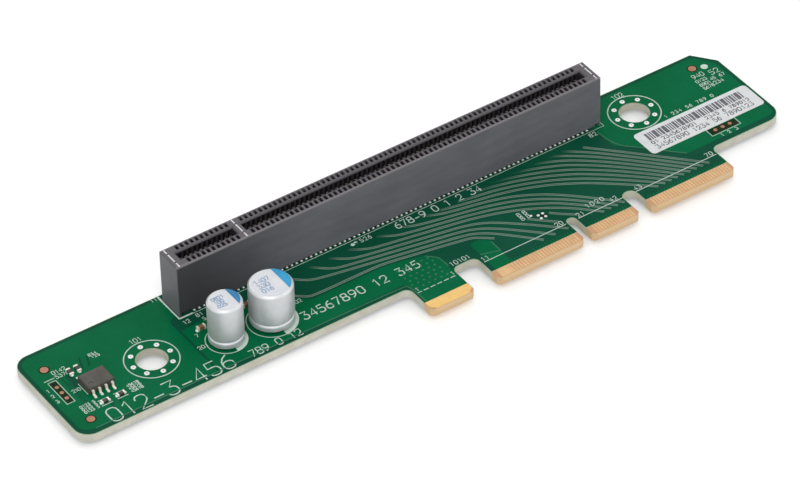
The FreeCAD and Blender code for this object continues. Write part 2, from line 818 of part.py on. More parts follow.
def make_chip_part(label, kind, x, y, along_card=True):
    """A ceramic chip part: a block with a metal cap round each end."""
    length, width = kind + "_length", kind + "_width"
    cap = kind + "_cap"
    sizes_xy = (length, width) if along_card else (width, length)
    inner = []
    for text in sizes_xy:
        inner.append("(%s - 2 * cap_shell)" % text)
    block = piece("Part::Box", label + "_body")
    bind(block, "Length", inner[0])
    bind(block, "Width", inner[1])
    bind(block, "Height", "%s_height - 2 * cap_shell" % kind)
    place(block, "%s - 0.5 * %s" % (x, inner[0]), "%s - 0.5 * %s" % (y, inner[1]), "board_thick + cap_shell")
    caps = []
    for sign in "-+":
        if along_card:
            middle = ("(%s %s 0.5 * (%s - %s))" % (x, sign, length, cap), y)
            spans = (cap, width)
        else:
            middle = (x, "(%s %s 0.5 * (%s - %s))" % (y, sign, length, cap))
            spans = (width, cap)
        whole = helper("Part::Box", "Cap", Length=spans[0], Width=spans[1], Height=kind + "_height")
        place(whole, "%s - 0.5 * %s" % (middle[0], spans[0]), "%s - 0.5 * %s" % (middle[1], spans[1]),
              "board_thick")
        hollow = doc.addObject("Part::Cut", "Hollow")
        hollow.Base = whole
        hollow.Tool = block
        caps.append(hollow)
    ends = piece("Part::Compound", label + "_ends")
    ends.Links = caps
    doc.recompute()


def make_small_parts():
    step = "resistor_front_step"
    make_chip_part("resistor_front_left", "resistor", "resistor_front_along", "resistor_front_across")
    make_chip_part("resistor_front_right", "resistor", "(resistor_front_along + %s)" % step,
                   "resistor_front_across")
    make_chip_part("resistor_rear_left", "resistor", "resistor_rear_along", "resistor_rear_across", False)
    make_chip_part("resistor_rear_right", "resistor", "(resistor_rear_along + resistor_rear_step)",
                   "resistor_rear_across", False)
    for label, kind in (("ceramic_capacitor_left", "small"), ("ceramic_capacitor_right", "large")):
        x = "(%s_can_along + %s_can_to_chip_cap_along)" % (kind, kind)
        y = "(%s_can_across + %s_can_to_chip_cap_across)" % (kind, kind)
        make_chip_part(label, "chip_cap", x, y)


# ---------------------------------------------------------------- lands, vias and label
def make_lands():
    """Bare copper on the top face: fiducials, two rows of three round pads, test pads."""
    top = size("board_thick")
    thick = size("land_thick")
    back = size("board_back")
    front = value(BOARD_FRONT)
    left = -size("board_left")
    right = value(BOARD_RIGHT)

    def disc(x, y, radius, sides=8):
        return prism(x, y, top, radius, radius, thick, sides)

    spots = [(left + size("fiducial_end_inset"), back - size("fiducial_back_inset")),
             (left + size("fiducial_end_inset"), front + size("fiducial_front_inset")),
             (right - size("fiducial_right_inset"), back - size("fiducial_right_back"))]
    group("fiducials", [disc(x, y, size("fiducial_radius"), 16) for x, y in spots])

    step = size("row_pad_step")
    count = int(size("row_pad_count"))
    pad_radius = size("row_pad_radius")
    x = left + size("left_row_inset")
    group("pad_row_left", [disc(x, size("left_row_across") - step * n, pad_radius) for n in range(count)])
    x = right - size("right_row_inset")
    group("pad_row_right", [disc(x + step * n, size("right_row_across"), pad_radius) for n in range(count)])

    half = 0.5 * size("test_pad_step")
    x = size("test_pad_along")
    y = size("test_pad_across")
    cluster = [(x - half, y - half), (x + half, y - half), (x - half, y + half), (x + half, y + half),
               (size("lone_test_pad_along"), size("lone_test_pad_across"))]
    group("test_pads", [disc(a, b, size("test_pad_radius")) for a, b in cluster])


def make_vias():
    """Solder domes that cap the ring of vias round each mounting hole, on both faces of the board."""
    thick = size("board_thick")
    dome = size("via_dome")
    radius = size("via_radius")
    top_radius = size("via_top_radius")
    for name, (x, y) in zip(("left", "right"), mount_holes()):
        domes = []
        for a, b in via_spots(x, y):
            domes.append(prism(value(a), value(b), thick, radius, top_radius, dome))
            domes.append(prism(value(a), value(b), 0, radius, top_radius, -dome))
        group("mount_vias_" + name, domes)


def make_label():
    body = piece("PartDesign::Body", "label")
    plan = new_sketch(body, "XY_Plane", ("0", "0", "board_thick"))
    right = "(%s - label_right_inset)" % BOARD_RIGHT
    rectangle(plan, right + " - label_length", right, "label_across - 0.5 * label_width",
              "label_across + 0.5 * label_width")
    pad(body, plan, "label_thick")
    round_off(body, "label_corner", lambda edge, spot, box: box.XLength < NEAR and box.YLength < NEAR)


make_board()
make_fingers()
make_housing()
make_contacts()
make_plates()
make_plate_solder()
make_capacitor("small")
make_capacitor("large")
make_chip()
make_small_parts()
make_lands()
make_vias()
make_label()
doc.recompute()


# ---------------------------------------------------------------- checks and files
for thing in doc.Objects:
    if "Invalid" in thing.State or "Error" in thing.State:
        raise ValueError("%s (%s) did not build: %s" % (thing.Name, thing.Label, thing.State))
for made in pieces:
    if made.Shape.isNull() or not made.Shape.isValid() or not made.Shape.Solids:
        raise ValueError("%s has no sound solid" % made.Label)

os.makedirs("parts", exist_ok=True)
for made in pieces:
    made.Shape.exportStep(os.path.join("parts", made.Label + ".step"))
print("%d sub-parts written" % len(pieces))
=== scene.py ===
import json
import math

import bpy
from mathutils import Matrix, Vector


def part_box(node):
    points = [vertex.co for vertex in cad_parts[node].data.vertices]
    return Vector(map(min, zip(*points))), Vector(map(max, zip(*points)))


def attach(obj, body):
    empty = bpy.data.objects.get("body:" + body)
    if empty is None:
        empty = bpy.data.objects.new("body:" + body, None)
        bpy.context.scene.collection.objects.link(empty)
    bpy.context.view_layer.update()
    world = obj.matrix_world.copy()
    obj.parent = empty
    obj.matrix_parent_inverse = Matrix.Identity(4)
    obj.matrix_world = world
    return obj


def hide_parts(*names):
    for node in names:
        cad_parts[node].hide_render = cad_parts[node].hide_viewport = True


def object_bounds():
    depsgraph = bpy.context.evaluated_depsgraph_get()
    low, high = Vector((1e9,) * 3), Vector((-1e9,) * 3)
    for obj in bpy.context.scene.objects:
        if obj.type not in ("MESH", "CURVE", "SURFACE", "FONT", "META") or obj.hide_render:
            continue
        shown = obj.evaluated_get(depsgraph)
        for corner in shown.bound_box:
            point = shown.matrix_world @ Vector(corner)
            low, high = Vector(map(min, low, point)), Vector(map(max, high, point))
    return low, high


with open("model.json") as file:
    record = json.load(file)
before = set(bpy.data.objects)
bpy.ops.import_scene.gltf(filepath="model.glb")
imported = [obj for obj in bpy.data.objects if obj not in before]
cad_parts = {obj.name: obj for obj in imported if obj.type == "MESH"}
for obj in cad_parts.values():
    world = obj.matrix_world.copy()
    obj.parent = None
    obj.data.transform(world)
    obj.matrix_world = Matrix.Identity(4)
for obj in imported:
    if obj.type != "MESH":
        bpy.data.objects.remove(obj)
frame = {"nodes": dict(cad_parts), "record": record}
cad_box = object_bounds()
nodes = frame["nodes"]

# Looks of the riser card. Sizes are millimetres in the card's own frame, and become metres where
# a mesh is made: x runs along the card, y towards its back edge, z up from the board's underside.
MM = 0.001


def corners(node):
    """Lowest and highest corner of a node, in millimetres."""
    low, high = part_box(node)
    return low / MM, high / MM


def round_size(node):
    """Middle and radius of an upright round node, and its lowest and highest corner."""
    low, high = corners(node)
    return 0.5 * (low + high), 0.5 * (high.x - low.x), low, high


def spans(node):
    """The (left, right) stretches along the card that a row of equal separate pieces takes."""
    edges = sorted({round(vertex.co.x / MM, 3) for vertex in nodes[node].data.vertices})
    return list(zip(edges[::2], edges[1::2]))


board_low, board_high = corners("circuit_board")
slot_low, slot_high = corners("slot_housing")
LEFT, TIP = board_low.x, board_low.y
RIGHT, BACK, TOP = board_high.x, board_high.y, board_high.z
TAB_REACH = 7.5
FRONT = TIP + TAB_REACH
MASK_LINE = corners("third_tab_fingers_top")[1].y

MASK_THICK = 0.03
MASK_INSET = 0.12
COPPER_BAND = 0.85
COPPER_LIFT = 0.035
COPPER_EDGE = 0.012
TRACE_WIDTH = 0.22
TRACE_GAP = 0.12
OPENING_THICK = 0.012
INK_THICK = 0.02
INK_WIDTH = 0.2
RING_RADIUS = 4.8
RING_WIDTH = 0.24
MASK_TOP = TOP + MASK_THICK
COPPER_TOP = MASK_TOP + COPPER_LIFT
SAME_PLACE = 1e-7  # metres within which two points are one


# ---- shading
def tint(red, green, blue):
    """A colour given as 0 to 255 screen values."""
    shares = (part / 255 for part in (red, green, blue))
    return (*(share / 12.92 if share <= 0.04045 else ((share + 0.055) / 1.055) ** 2.4 for share in shares), 1.0)


def feed(tree, source, socket):
    """Give a socket another node's output, or a plain value."""
    if isinstance(source, bpy.types.NodeSocket):
        tree.links.new(source, socket)
    else:
        socket.default_value = source


def wire(tree, kind, *sources, **named):
    """Add a shader node, feed its inputs in order or by name, and hand back its first live output.

    A kind may carry an operation or data type after a dot; an underscore in a name is a space."""
    kind, _, choice = kind.partition(".")
    node = tree.nodes.new(kind)
    if choice:
        setattr(node, "data_type" if kind == "ShaderNodeMix" else "operation", choice)
    for socket, source in zip(node.inputs, sources):
        feed(tree, source, socket)
    for label, source in named.items():
        feed(tree, source, node.inputs[label.replace("_", " ")])
    return next(socket for socket in node.outputs if socket.enabled)


def new_group(name, inputs, outputs):
    """An empty shader group, the values given to it and the sockets that it puts out."""
    group = bpy.data.node_groups.new(name, "ShaderNodeTree")
    for way, sockets in (("INPUT", inputs), ("OUTPUT", outputs)):
        for label, kind in sockets.items():
            group.interface.new_socket(label, in_out=way, socket_type="NodeSocket" + kind)
    return group, group.nodes.new("NodeGroupInput").outputs, group.nodes.new("NodeGroupOutput").inputs


def place_in_mm(group):
    """Object coordinates counted in millimetres."""
    place = group.nodes.new("ShaderNodeTexCoord").outputs["Object"]
    return wire(group, "ShaderNodeVectorMath.SCALE", place, Scale=1 / MM)


def patches_group():
    """Two colours mixed by broad patches and fine grain, with the mask and a height."""
    group, given, made = new_group(
        "patches",
        {"Colour": "Color", "Other Colour": "Color", "Patch Size": "Float", "Grain Size": "Float",
         "Low": "Float", "High": "Float"},
        {"Colour": "Color", "Value": "Float", "Height": "Float"})
    place = place_in_mm(group)
    noises = []
    for label, detail in (("Patch Size", 3), ("Grain Size", 2)):
        over = wire(group, "ShaderNodeMath.DIVIDE", 1.0, given[label])
        noises.append(wire(group, "ShaderNodeTexNoise", Vector=place, Scale=over, Detail=detail))
    both = wire(group, "ShaderNodeMix", Factor=0.35, A=noises[0], B=noises[1])
    spread = wire(group, "ShaderNodeMapRange", Value=both, From_Min=0.36, From_Max=0.64)
    colour = wire(group, "ShaderNodeMix.RGBA", Factor=spread, A=given["Colour"], B=given["Other Colour"])
    value = wire(group, "ShaderNodeMapRange", Value=spread, To_Min=given["Low"], To_Max=given["High"])
    feed(group, colour, made["Colour"])
    feed(group, value, made["Value"])
    feed(group, noises[1], made["Height"])
    return group


def weave_group():
    """The glass cloth of a laminate: bundles crossing over and under, as a mask and a height."""
    group, given, made = new_group("glass_weave", {"Pitch": "Float"}, {"Mask": "Float", "Height": "Float"})
    parts = group.nodes.new("ShaderNodeSeparateXYZ")
    feed(group, place_in_mm(group), parts.inputs[0])
    waves = []
    for axis in "XY":
        turns = wire(group, "ShaderNodeMath.DIVIDE", parts.outputs[axis], given["Pitch"])
        angle = wire(group, "ShaderNodeMath.MULTIPLY", turns, 2 * math.pi)
        waves.append(wire(group, "ShaderNodeMath.SINE", angle))
    crossing = wire(group, "ShaderNodeMath.MULTIPLY", *waves)
    feed(group, wire(group, "ShaderNodeMapRange", Value=crossing, From_Min=-1.0), made["Mask"])
    feed(group, crossing, made["Height"])
    return group


def streaks_group():
    """Fine drawn or brushed lines: noise stretched along one direction, as a value and a height."""
    group, given, made = new_group(
        "streaks", {"Stretch": "Vector", "Low": "Float", "High": "Float"}, {"Value": "Float", "Height": "Float"})
    stretched = wire(group, "ShaderNodeVectorMath.MULTIPLY", place_in_mm(group), given["Stretch"])
    noise = wire(group, "ShaderNodeTexNoise", Vector=stretched, Scale=1.0, Detail=4.0)
    value = wire(group, "ShaderNodeMapRange", Value=noise, From_Min=0.3, From_Max=0.7,
                 To_Min=given["Low"], To_Max=given["High"])
    feed(group, value, made["Value"])
    feed(group, noise, made["Height"])
    return group


def zone_group():
    """How far a place is past a level along one direction, as a mask from 0 to 1."""
    group, given, made = new_group(
        "past_level", {"Direction": "Vector", "Level": "Float", "Softness": "Float"}, {"Mask": "Float"})
    along = wire(group, "ShaderNodeVectorMath.DOT_PRODUCT", place_in_mm(group), given["Direction"])
    beyond = wire(group, "ShaderNodeMath.SUBTRACT", along, given["Level"])
    share = wire(group, "ShaderNodeMath.DIVIDE", beyond, given["Softness"])
    share.node.use_clamp = True
    feed(group, share, made["Mask"])
    return group


PATCHES = patches_group()
WEAVE = weave_group()
STREAKS = streaks_group()
PAST = zone_group()
RIGHTWARD, LEFTWARD = (1, 0, 0), (-1, 0, 0)
BACKWARD, FORWARD = (0, 1, 0), (0, -1, 0)
UPWARD = (0, 0, 1)
WHITE = (1, 1, 1, 1)


class Finish:
    """A material put together round one Principled shader, whose colour and gloss vary in patches."""

    def __init__(self, name, colour, other, patch, grain, low=0.4, high=0.5, metallic=0.0, specular=0.5):
        self.material = bpy.data.materials.new(name)
        self.material.use_nodes = True
        self.tree = self.material.node_tree
        self.shader = self.tree.nodes["Principled BSDF"].inputs
        self.shader["Metallic"].default_value = metallic
        self.shader["Specular IOR Level"].default_value = specular
        self.mix = self.effect(PATCHES, Colour=tint(*colour), Other_Colour=tint(*other), Patch_Size=patch,
                               Grain_Size=grain, Low=low, High=high)

    def effect(self, group, **values):
        """Place a shared group with its own values; an underscore in a name stands for a space."""
        node = self.tree.nodes.new("ShaderNodeGroup")
        node.node_tree = group
        for label, value in values.items():
            node.inputs[label.replace("_", " ")].default_value = value
        return node.outputs

    def past(self, direction, level, softness):
        """A mask that rises past a level along one direction."""
        return self.effect(PAST, Direction=direction, Level=level, Softness=softness)["Mask"]

    def mixed(self, mask, first, second, blend="MIX"):
        """Two colours, each a value or a socket, mixed by a mask."""
        mix = wire(self.tree, "ShaderNodeMix.RGBA", Factor=mask, A=first, B=second)
        mix.node.blend_type = blend
        return mix

    def where(self, masks, inside, outside):
        """One colour where all the masks hold, and another elsewhere."""
        for mask in reversed(masks):
            inside = self.mixed(mask, outside, inside)
        return inside

    def wear(self, depth, colour=None, roughness=None, height=None):
        """Feed the shader, from the patches unless told otherwise; depth is the bump's, in millimetres."""
        feed(self.tree, colour or self.mix["Colour"], self.shader["Base Color"])
        feed(self.tree, roughness or self.mix["Value"], self.shader["Roughness"])
        bump = wire(self.tree, "ShaderNodeBump", Distance=depth * MM, Height=height or self.mix["Height"])
        feed(self.tree, bump, self.shader["Normal"])
        return self.material


MASK_LOOK = {"patch": 9.0, "grain": 0.25, "low": 0.36, "high": 0.5, "specular": 0.04}


def mask_finish(name, colour, other, weave_depth):
    """Glossy solder mask that lets the glass cloth print through faintly."""
    finish = Finish(name, colour, other, **MASK_LOOK)
    weave = finish.effect(WEAVE, Pitch=0.55)
    deeper = finish.mixed(0.06, finish.mix["Colour"], weave["Mask"], "OVERLAY")
    return finish.wear(weave_depth, deeper, height=weave["Height"])


def trace_finish():
    """Copper lanes under the mask, faded into the bare mask colour as they come near the slot: painted shade where
    the slot's shadow hides them.
    """
    finish = Finish("mask_trace", (124, 146, 131), (112, 136, 121), **MASK_LOOK)
    # painted shade: the lanes fade into the bare mask colour towards the slot
    faded_in_slot_shade = finish.past(BACKWARD, 2.9, 1.5)
    return finish.wear(0.003, finish.mixed(faded_in_slot_shade, finish.mix["Colour"], tint(14, 84, 61)))


def laminate_finish():
    """Pale resin and glass: layered on cut edges, tan where the bare tabs are bevelled."""
    finish = Finish("laminate", (216, 215, 202), (199, 196, 181), 2.5, 0.15, 0.55, 0.75, specular=0.3)
    layers = finish.effect(STREAKS, Stretch=(0.25, 0.25, 9.0), Low=0.0, High=1.0)
    layered = finish.mixed(0.16, finish.mix["Colour"], layers["Value"], "SOFT_LIGHT")
    tabs = finish.past(FORWARD, -MASK_LINE - 0.05, 0.1)
    tan = finish.mixed(tabs, layered, tint(219, 188, 146))
    lip = [finish.past(BACKWARD, MASK_LINE, 0.1), finish.past(UPWARD, TOP - 0.1, 0.08)]
    lipped = finish.where(lip, tint(150, 182, 146), tan)
    skin = finish.past(UPWARD, TOP - 0.02, 0.015)
    return finish.wear(0.01, finish.where([tabs, skin], tint(204, 158, 122), lipped))


def slot_finish():
    """Dark moulded nylon with a fine spark-eroded grain. Light and shade are painted into it: painted shade inside
    the cavities and along the front side towards the left end, where the cans shade it, and painted light on the
    lighter end face and tops.
    """
    finish = Finish("slot_plastic", (112, 112, 118), (104, 104, 110), 7.0, 0.12, 0.5, 0.64, specular=0.3)
    flow = finish.effect(STREAKS, Stretch=(0.12, 0.12, 0.6), Low=0.0, High=1.0)
    moulded = finish.mixed(0.12, finish.mix["Colour"], flow["Value"], "SOFT_LIGHT")
    # painted shade: the front side darkens towards the slot's left end, where the cans shade it
    side = finish.mixed(finish.past(RIGHTWARD, slot_low.x + 4.0, 22.0), tint(66, 66, 70), moulded)
    # painted light: the left end face is lighter, as if lit from the left
    with_lit_end_face = finish.mixed(finish.past(LEFTWARD, -slot_low.x - 0.12, 0.08), side, tint(108, 108, 112))
    wall = 0.35
    between = [finish.past(BACKWARD, slot_low.y + wall, 0.1), finish.past(FORWARD, -slot_high.y + wall, 0.1)]
    inside = between + [finish.past(RIGHTWARD, slot_low.x + wall, 0.1)]
    # painted shade: dark inside the contact cavities
    with_shaded_cavities = finish.where(inside, tint(52, 46, 50), with_lit_end_face)
    # painted light: lighter top rims and rib tops, where light falls on the top
    lit_top_colours = finish.where(between, tint(96, 92, 97), tint(122, 118, 122))
    top = finish.past(UPWARD, slot_high.z - 0.4, 0.3)
    return finish.wear(0.02, finish.mixed(top, with_shaded_cavities, lit_top_colours))


def metal_finish(name, colour, other, stretch, low, high, metallic, depth=0.004):
    """Drawn or plated metal: fine lines along one direction, slight stains."""
    finish = Finish(name, colour, other, patch=1.6, grain=0.2, metallic=metallic)
    lines = finish.effect(STREAKS, Stretch=stretch, Low=low, High=high)
    return finish.wear(depth, roughness=lines["Value"], height=lines["Height"])


# Two colours, then the depth to which the weave shows.
MASKS = {
    "mask_bare": ((14, 82, 60), (9, 74, 53), 0.004),
    "mask_copper": ((0, 106, 66), (0, 98, 58), 0.002),
    # lighter mask: a painted highlight on the copper edge lines; the tented vias use it too
    "mask_edge": ((66, 124, 94), (54, 114, 84), 0.001),
    "bare_opening": ((34, 52, 30), (20, 38, 20), 0.001),
}
# Two colours, how the drawn lines are stretched, lowest and highest roughness, and metallic.
METALS = {
    "gold": ((238, 200, 128), (228, 186, 114), (4, 1, 4), 0.35, 0.5, 0.7),
    "gold_fingers": ((226, 190, 142), (212, 172, 124), (6, 1, 4), 0.35, 0.5, 0.6),
    "spring_contact": ((205, 200, 190), (180, 172, 158), (6, 1, 1), 0.3, 0.45, 1.0),
    "plate_steel": ((216, 214, 216), (192, 192, 196), (1, 1, 8), 0.35, 0.5, 0.6),
    "solder": ((248, 248, 246), (232, 233, 234), (1.5, 1.5, 1.5), 0.35, 0.55, 0.15),
    "can_aluminium": ((214, 216, 218), (206, 208, 211), (0.5, 0.5, 14.0), 0.42, 0.54, 0.6, 0.002),
    "tinned_lead": ((246, 243, 230), (228, 224, 210), (3, 1, 1), 0.4, 0.58, 0.25),
    "bare_copper": ((182, 126, 102), (158, 108, 80), (2, 2, 2), 0.4, 0.6, 0.4),
}
# Two colours, and lowest and highest roughness.
PLAIN = {
    "bung_rubber": ((38, 36, 36), (28, 27, 28), 0.7, 0.85),
    "chip_black": ((80, 77, 71), (71, 67, 62), 0.55, 0.7),
    "resistor_black": ((36, 34, 36), (26, 25, 27), 0.35, 0.5),
    "ceramic_tan": ((146, 104, 74), (126, 88, 62), 0.45, 0.6),
    "label_white": ((226, 229, 229), (216, 219, 220), 0.55, 0.7),
    "printing_ink": ((214, 230, 219), (194, 214, 202), 0.6, 0.75),
    "label_ink": ((112, 110, 118), (88, 86, 96), 0.6, 0.75),
    "can_print_pale": ((158, 184, 216), (140, 168, 206), 0.5, 0.6),
    "can_print_blue_small": ((30, 128, 182), (18, 112, 168), 0.45, 0.6),
    "can_print_blue_large": ((32, 160, 208), (20, 144, 196), 0.45, 0.6),
    "can_top_white": ((226, 228, 232), (214, 217, 223), 0.4, 0.5),
    "via_grey": ((120, 122, 118), (96, 98, 94), 0.5, 0.7),
}


def make_finishes():
    """Every finish of the card by name."""
    made = {"laminate": laminate_finish(), "mask_trace": trace_finish(), "slot_plastic": slot_finish()}
    for name, look in MASKS.items():
        made[name] = mask_finish(name, *look)
    for name, look in METALS.items():
        made[name] = metal_finish(name, *look)
    for name, (colour, other, low, high) in PLAIN.items():
        made[name] = Finish(name, colour, other, 1.8, 0.12, low, high).wear(0.008)
    return made


FINISHES = make_finishes()


# ---- modelling by hand
def new_object(name, data):
    """An object in the scene for a mesh, curve, lamp or camera."""
    thing = bpy.data.objects.new(name, data)
    bpy.context.scene.collection.objects.link(thing)
    return thing


def pick(*things):
    """Leave edit mode and select only these objects, the first one active."""
    if bpy.context.mode != "OBJECT":
        bpy.ops.object.mode_set(mode="OBJECT")
    bpy.ops.object.select_all(action="DESELECT")
    for thing in things:
        thing.select_set(True)
    bpy.context.view_layer.objects.active = things[0]


def open_up(thing):
    """Go into edit mode with the whole of one mesh selected."""
    pick(thing)
    bpy.ops.object.mode_set(mode="EDIT")
    bpy.ops.mesh.select_all(action="SELECT")


def choose(thing, kind, test):
    """In edit mode, select only the mesh's faces or vertices that pass a test."""
    words = {"FACE": "polygons", "VERT": "vertices"}
    open_up(thing)
    bpy.ops.mesh.select_mode(type=kind)
    bpy.ops.mesh.select_all(action="DESELECT")
    bpy.ops.object.mode_set(mode="OBJECT")
    for part in getattr(thing.data, words[kind]):
        part.select = test(part)
    bpy.ops.object.mode_set(mode="EDIT")


def outward(thing):
    """Merge doubles and turn every face outwards."""
    open_up(thing)
    bpy.ops.mesh.remove_doubles(threshold=SAME_PLACE)
    bpy.ops.mesh.normals_make_consistent(inside=False)
    bpy.ops.object.mode_set(mode="OBJECT")


def settle(thing, x=0.0, y=0.0, z=0.0, flatten=1.0):
    """Flatten a mesh, carry it to a place in millimetres and leave its object at the origin."""
    pick(thing)
    thing.scale = (1.0, 1.0, flatten)
    thing.location = Vector((x, y, z)) * MM
    bpy.ops.object.transform_apply(location=True, rotation=True, scale=True)


def apply_modifier(thing, kind, **settings):
    """Finish a mesh with a modifier, applied at once."""
    modifier = thing.modifiers.new(kind.lower(), kind)
    for label, value in settings.items():
        setattr(modifier, label, value)
    pick(thing)
    bpy.ops.object.modifier_apply(modifier=modifier.name)


def dress(thing, name, finish):
    """Name a finished piece, give it its finish and let it ride with the card."""
    thing.name = name
    thing.data.name = name
    thing.data.materials.clear()
    thing.data.materials.append(FINISHES[finish])
    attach(thing, "root")
    return thing


def join(things):
    """One mesh from several."""
    pick(*things)
    bpy.ops.object.join()
    return bpy.context.object


def copies(model, places):
    """Copy a model that was made at the origin to each place, as one mesh."""
    made = []
    for place in places:
        twin = new_object("twin", model.data.copy())
        twin.location = Vector(place) * MM
        made.append(twin)
    bpy.data.objects.remove(model)
    pick(*made)
    bpy.ops.object.transform_apply(location=True, rotation=False, scale=False)
    return join(made)


def under(thing):
    """Turn a piece that was made for the top face over to the underside, with x and y kept."""
    settle(thing, z=TOP, flatten=-1.0)
    outward(thing)
    return thing


def drawn(lines, closed, smooth=False, **settings):
    """A mesh from a curve through points on the board, with the curve's own settings."""
    curve = bpy.data.curves.new("drawn", "CURVE")
    for label, value in settings.items():
        setattr(curve, label, value)
    for line in lines:
        spline = curve.splines.new("NURBS" if smooth else "POLY")
        spline.points.add(len(line) - 1)
        for point, (x, y) in zip(spline.points, line):
            point.co = (x * MM, y * MM, 0.0, 1.0)
        spline.use_cyclic_u = closed
        if smooth:
            spline.order_u = 3
            spline.use_endpoint_u = True
    pick(new_object("drawn", curve))
    bpy.ops.object.convert(target="MESH")
    return bpy.context.object


def strokes(lines, width, level, closed=False, smooth=False, height=INK_THICK, sides=1):
    """Raised lines drawn through points on the board; sides is how finely their section is rounded."""
    thing = drawn(lines, closed, smooth, dimensions="3D", bevel_depth=0.5 * width * MM,
                  bevel_resolution=sides, resolution_u=3, use_fill_caps=True)
    settle(thing, z=level, flatten=2 * height / width)
    return thing


def sheet_of(outlines, thick, level, edge=0.0):
    """A flat layer filling closed outlines; an outline inside another one is a hole."""
    thing = drawn(outlines, True, dimensions="2D", fill_mode="BOTH", bevel_resolution=0,
                  extrude=(0.5 * thick - edge) * MM, bevel_depth=edge * MM)
    settle(thing, z=level + 0.5 * thick)
    outward(thing)
    return thing


# ---- lines on the board
def turn_corner(before, corner, after, radius, most, steps):
    """Points of a soft turn at a corner, which takes at most a share of the way to its neighbours."""
    here = Vector(corner[:2])
    start, end = (here + way.normalized() * min(radius, most * way.length)
                  for way in (Vector(before[:2]) - here, Vector(after[:2]) - here))
    shares = [step / steps for step in range(steps + 1)]
    return [tuple(start.lerp(here, share).lerp(here.lerp(end, share), share)) for share in shares]


def rounded(outline, radius):
    """A closed outline with its corners rounded. A corner is (x, y) or (x, y, radius)."""
    made = []
    for number, corner in enumerate(outline):
        after = outline[(number + 1) % len(outline)]
        own = corner[2] if len(corner) > 2 else radius
        made += turn_corner(outline[number - 1], corner, after, own, 0.45, 5)
    return made


def softened(line):
    """An open line with round stretches where its corners carry a radius."""
    made = [line[0][:2]]
    for before, corner, after in zip(line, line[1:], line[2:]):
        if len(corner) > 2:
            made += turn_corner(before, corner, after, corner[2], 1.0, 3)
        else:
            made.append(corner)
    made.append(line[-1][:2])
    return made


def round_line(x, y, radius, count=48):
    """Points evenly round a circle."""
    turn = 2 * math.pi / count
    return [(x + radius * math.cos(turn * n), y + radius * math.sin(turn * n)) for n in range(count)]


def arc_line(x, y, radius, half, steps):
    """Points of an arc that bulges to the right, from minus to plus its half angle."""
    turns = [half * (2 * step / steps - 1) for step in range(steps + 1)]
    return [(x + radius * math.cos(turn), y + radius * math.sin(turn)) for turn in turns]


def box_line(left, front, right, back):
    """The four corners of an upright box on the board."""
    return [(left, front), (right, front), (right, back), (left, back)]


def slanted(x0, y0, x1, y1, width):
    """The outline of a straight strip of even width along X, from one place to another."""
    half = 0.5 * width
    return [(x0 - half, y0), (x0 + half, y0), (x1 + half, y1), (x1 - half, y1)]


# Plain numerals in a cell one high and 0.6 wide. A point is (x, y) or (x, y, radius of its corner).
ROUND = 0.3
NUMERALS = {
    "0": [[(0.3, 1), (0, 1, ROUND), (0, 0, ROUND), (0.6, 0, ROUND), (0.6, 1, ROUND), (0.3, 1)]],
    "1": [[(0.1, 0.78), (0.34, 1), (0.34, 0)]],
    "2": [[(0, 0.72), (0, 1, ROUND), (0.6, 1, ROUND), (0.6, 0.55, 0.2), (0, 0), (0.6, 0)]],
    "3": [[(0, 1), (0.58, 1), (0.26, 0.6), (0.6, 0.6, ROUND), (0.6, 0, ROUND), (0, 0, ROUND), (0, 0.2)]],
    "4": [[(0.45, 0), (0.45, 1), (0, 0.28), (0.6, 0.28)]],
    "5": [[(0.56, 1), (0.06, 1), (0.03, 0.58), (0.6, 0.62, ROUND), (0.6, 0, ROUND), (0, 0, ROUND), (0, 0.16)]],
    "6": [[(0.5, 1), (0, 0.8, 0.5), (0, 0, ROUND), (0.6, 0, ROUND), (0.6, 0.58, ROUND), (0, 0.58, ROUND),
           (0, 0.3)]],
    "7": [[(0, 1), (0.6, 1), (0.2, 0)]],
    "8": [[(0.3, 1), (0.04, 1, 0.2), (0.04, 0.54, 0.2), (0.56, 0.54, 0.2), (0.56, 1, 0.2), (0.3, 1)],
          [(0.3, 0.54), (0, 0.54, 0.25), (0, 0, 0.25), (0.6, 0, 0.25), (0.6, 0.54, 0.25), (0.3, 0.54)]],
    "-": [[(0.05, 0.35), (0.6, 0.35)]],
    " ": [],
}


def turned_over(line):
    """A numeral's line turned half round in its cell."""
    return [(0.6 - x, 1 - y, *radius) for x, y, *radius in line]


NUMERALS["9"] = [turned_over(line) for line in NUMERALS["6"]]


def numeral_lines(text, x, y, height, pitch):
    """The lines of plain numerals from a place on; pitch is from one cell to the next, in heights."""
    return [[(x + height * (u + pitch * number), y + height * v) for u, v in softened(line)]
            for number, sign in enumerate(text) for line in NUMERALS[sign]]


# ---- solder mask and copper
def face_skin(name, way):
    """A thin layer over the board's top, or its underside where way is -1, cut back at edge, holes and tabs."""
    skin = new_object(name, nodes["circuit_board"].data.copy())
    outward(skin)
    level = TOP * MM if way > 0 else 0.0
    choose(skin, "FACE", lambda face: face.normal.z * way <= 0.99 or abs(face.center.z - level) >= 1e-5)
    bpy.ops.mesh.delete(type="FACE")
    bpy.ops.mesh.select_all(action="SELECT")
    bpy.ops.mesh.bisect(plane_co=(0, MASK_LINE * MM, 0), plane_no=(0, 1, 0), clear_inner=True)
    bpy.ops.mesh.select_all(action="SELECT")
    bpy.ops.mesh.inset(thickness=MASK_INSET * MM, use_boundary=True, use_even_offset=True)
    bpy.ops.mesh.select_all(action="INVERT")
    bpy.ops.mesh.delete(type="FACE")
    bpy.ops.object.mode_set(mode="OBJECT")
    apply_modifier(skin, "SOLIDIFY", thickness=MASK_THICK * MM, offset=1.0)
    dress(skin, name, "mask_bare")


SIDES = ("left", "right")
MOUNTS = {mount["name"]: mount["pos_m"] for mount in frame["record"]["mounts"]}
HOLES = [tuple(number / MM for number in MOUNTS["mount_hole_" + side][:2]) for side in SIDES]
HOLE_CLEAR = 2.95


def band_corner(radius):
    """Radius of a copper area's corner inside a rounded board corner."""
    return max(radius - COPPER_BAND, 0.3)


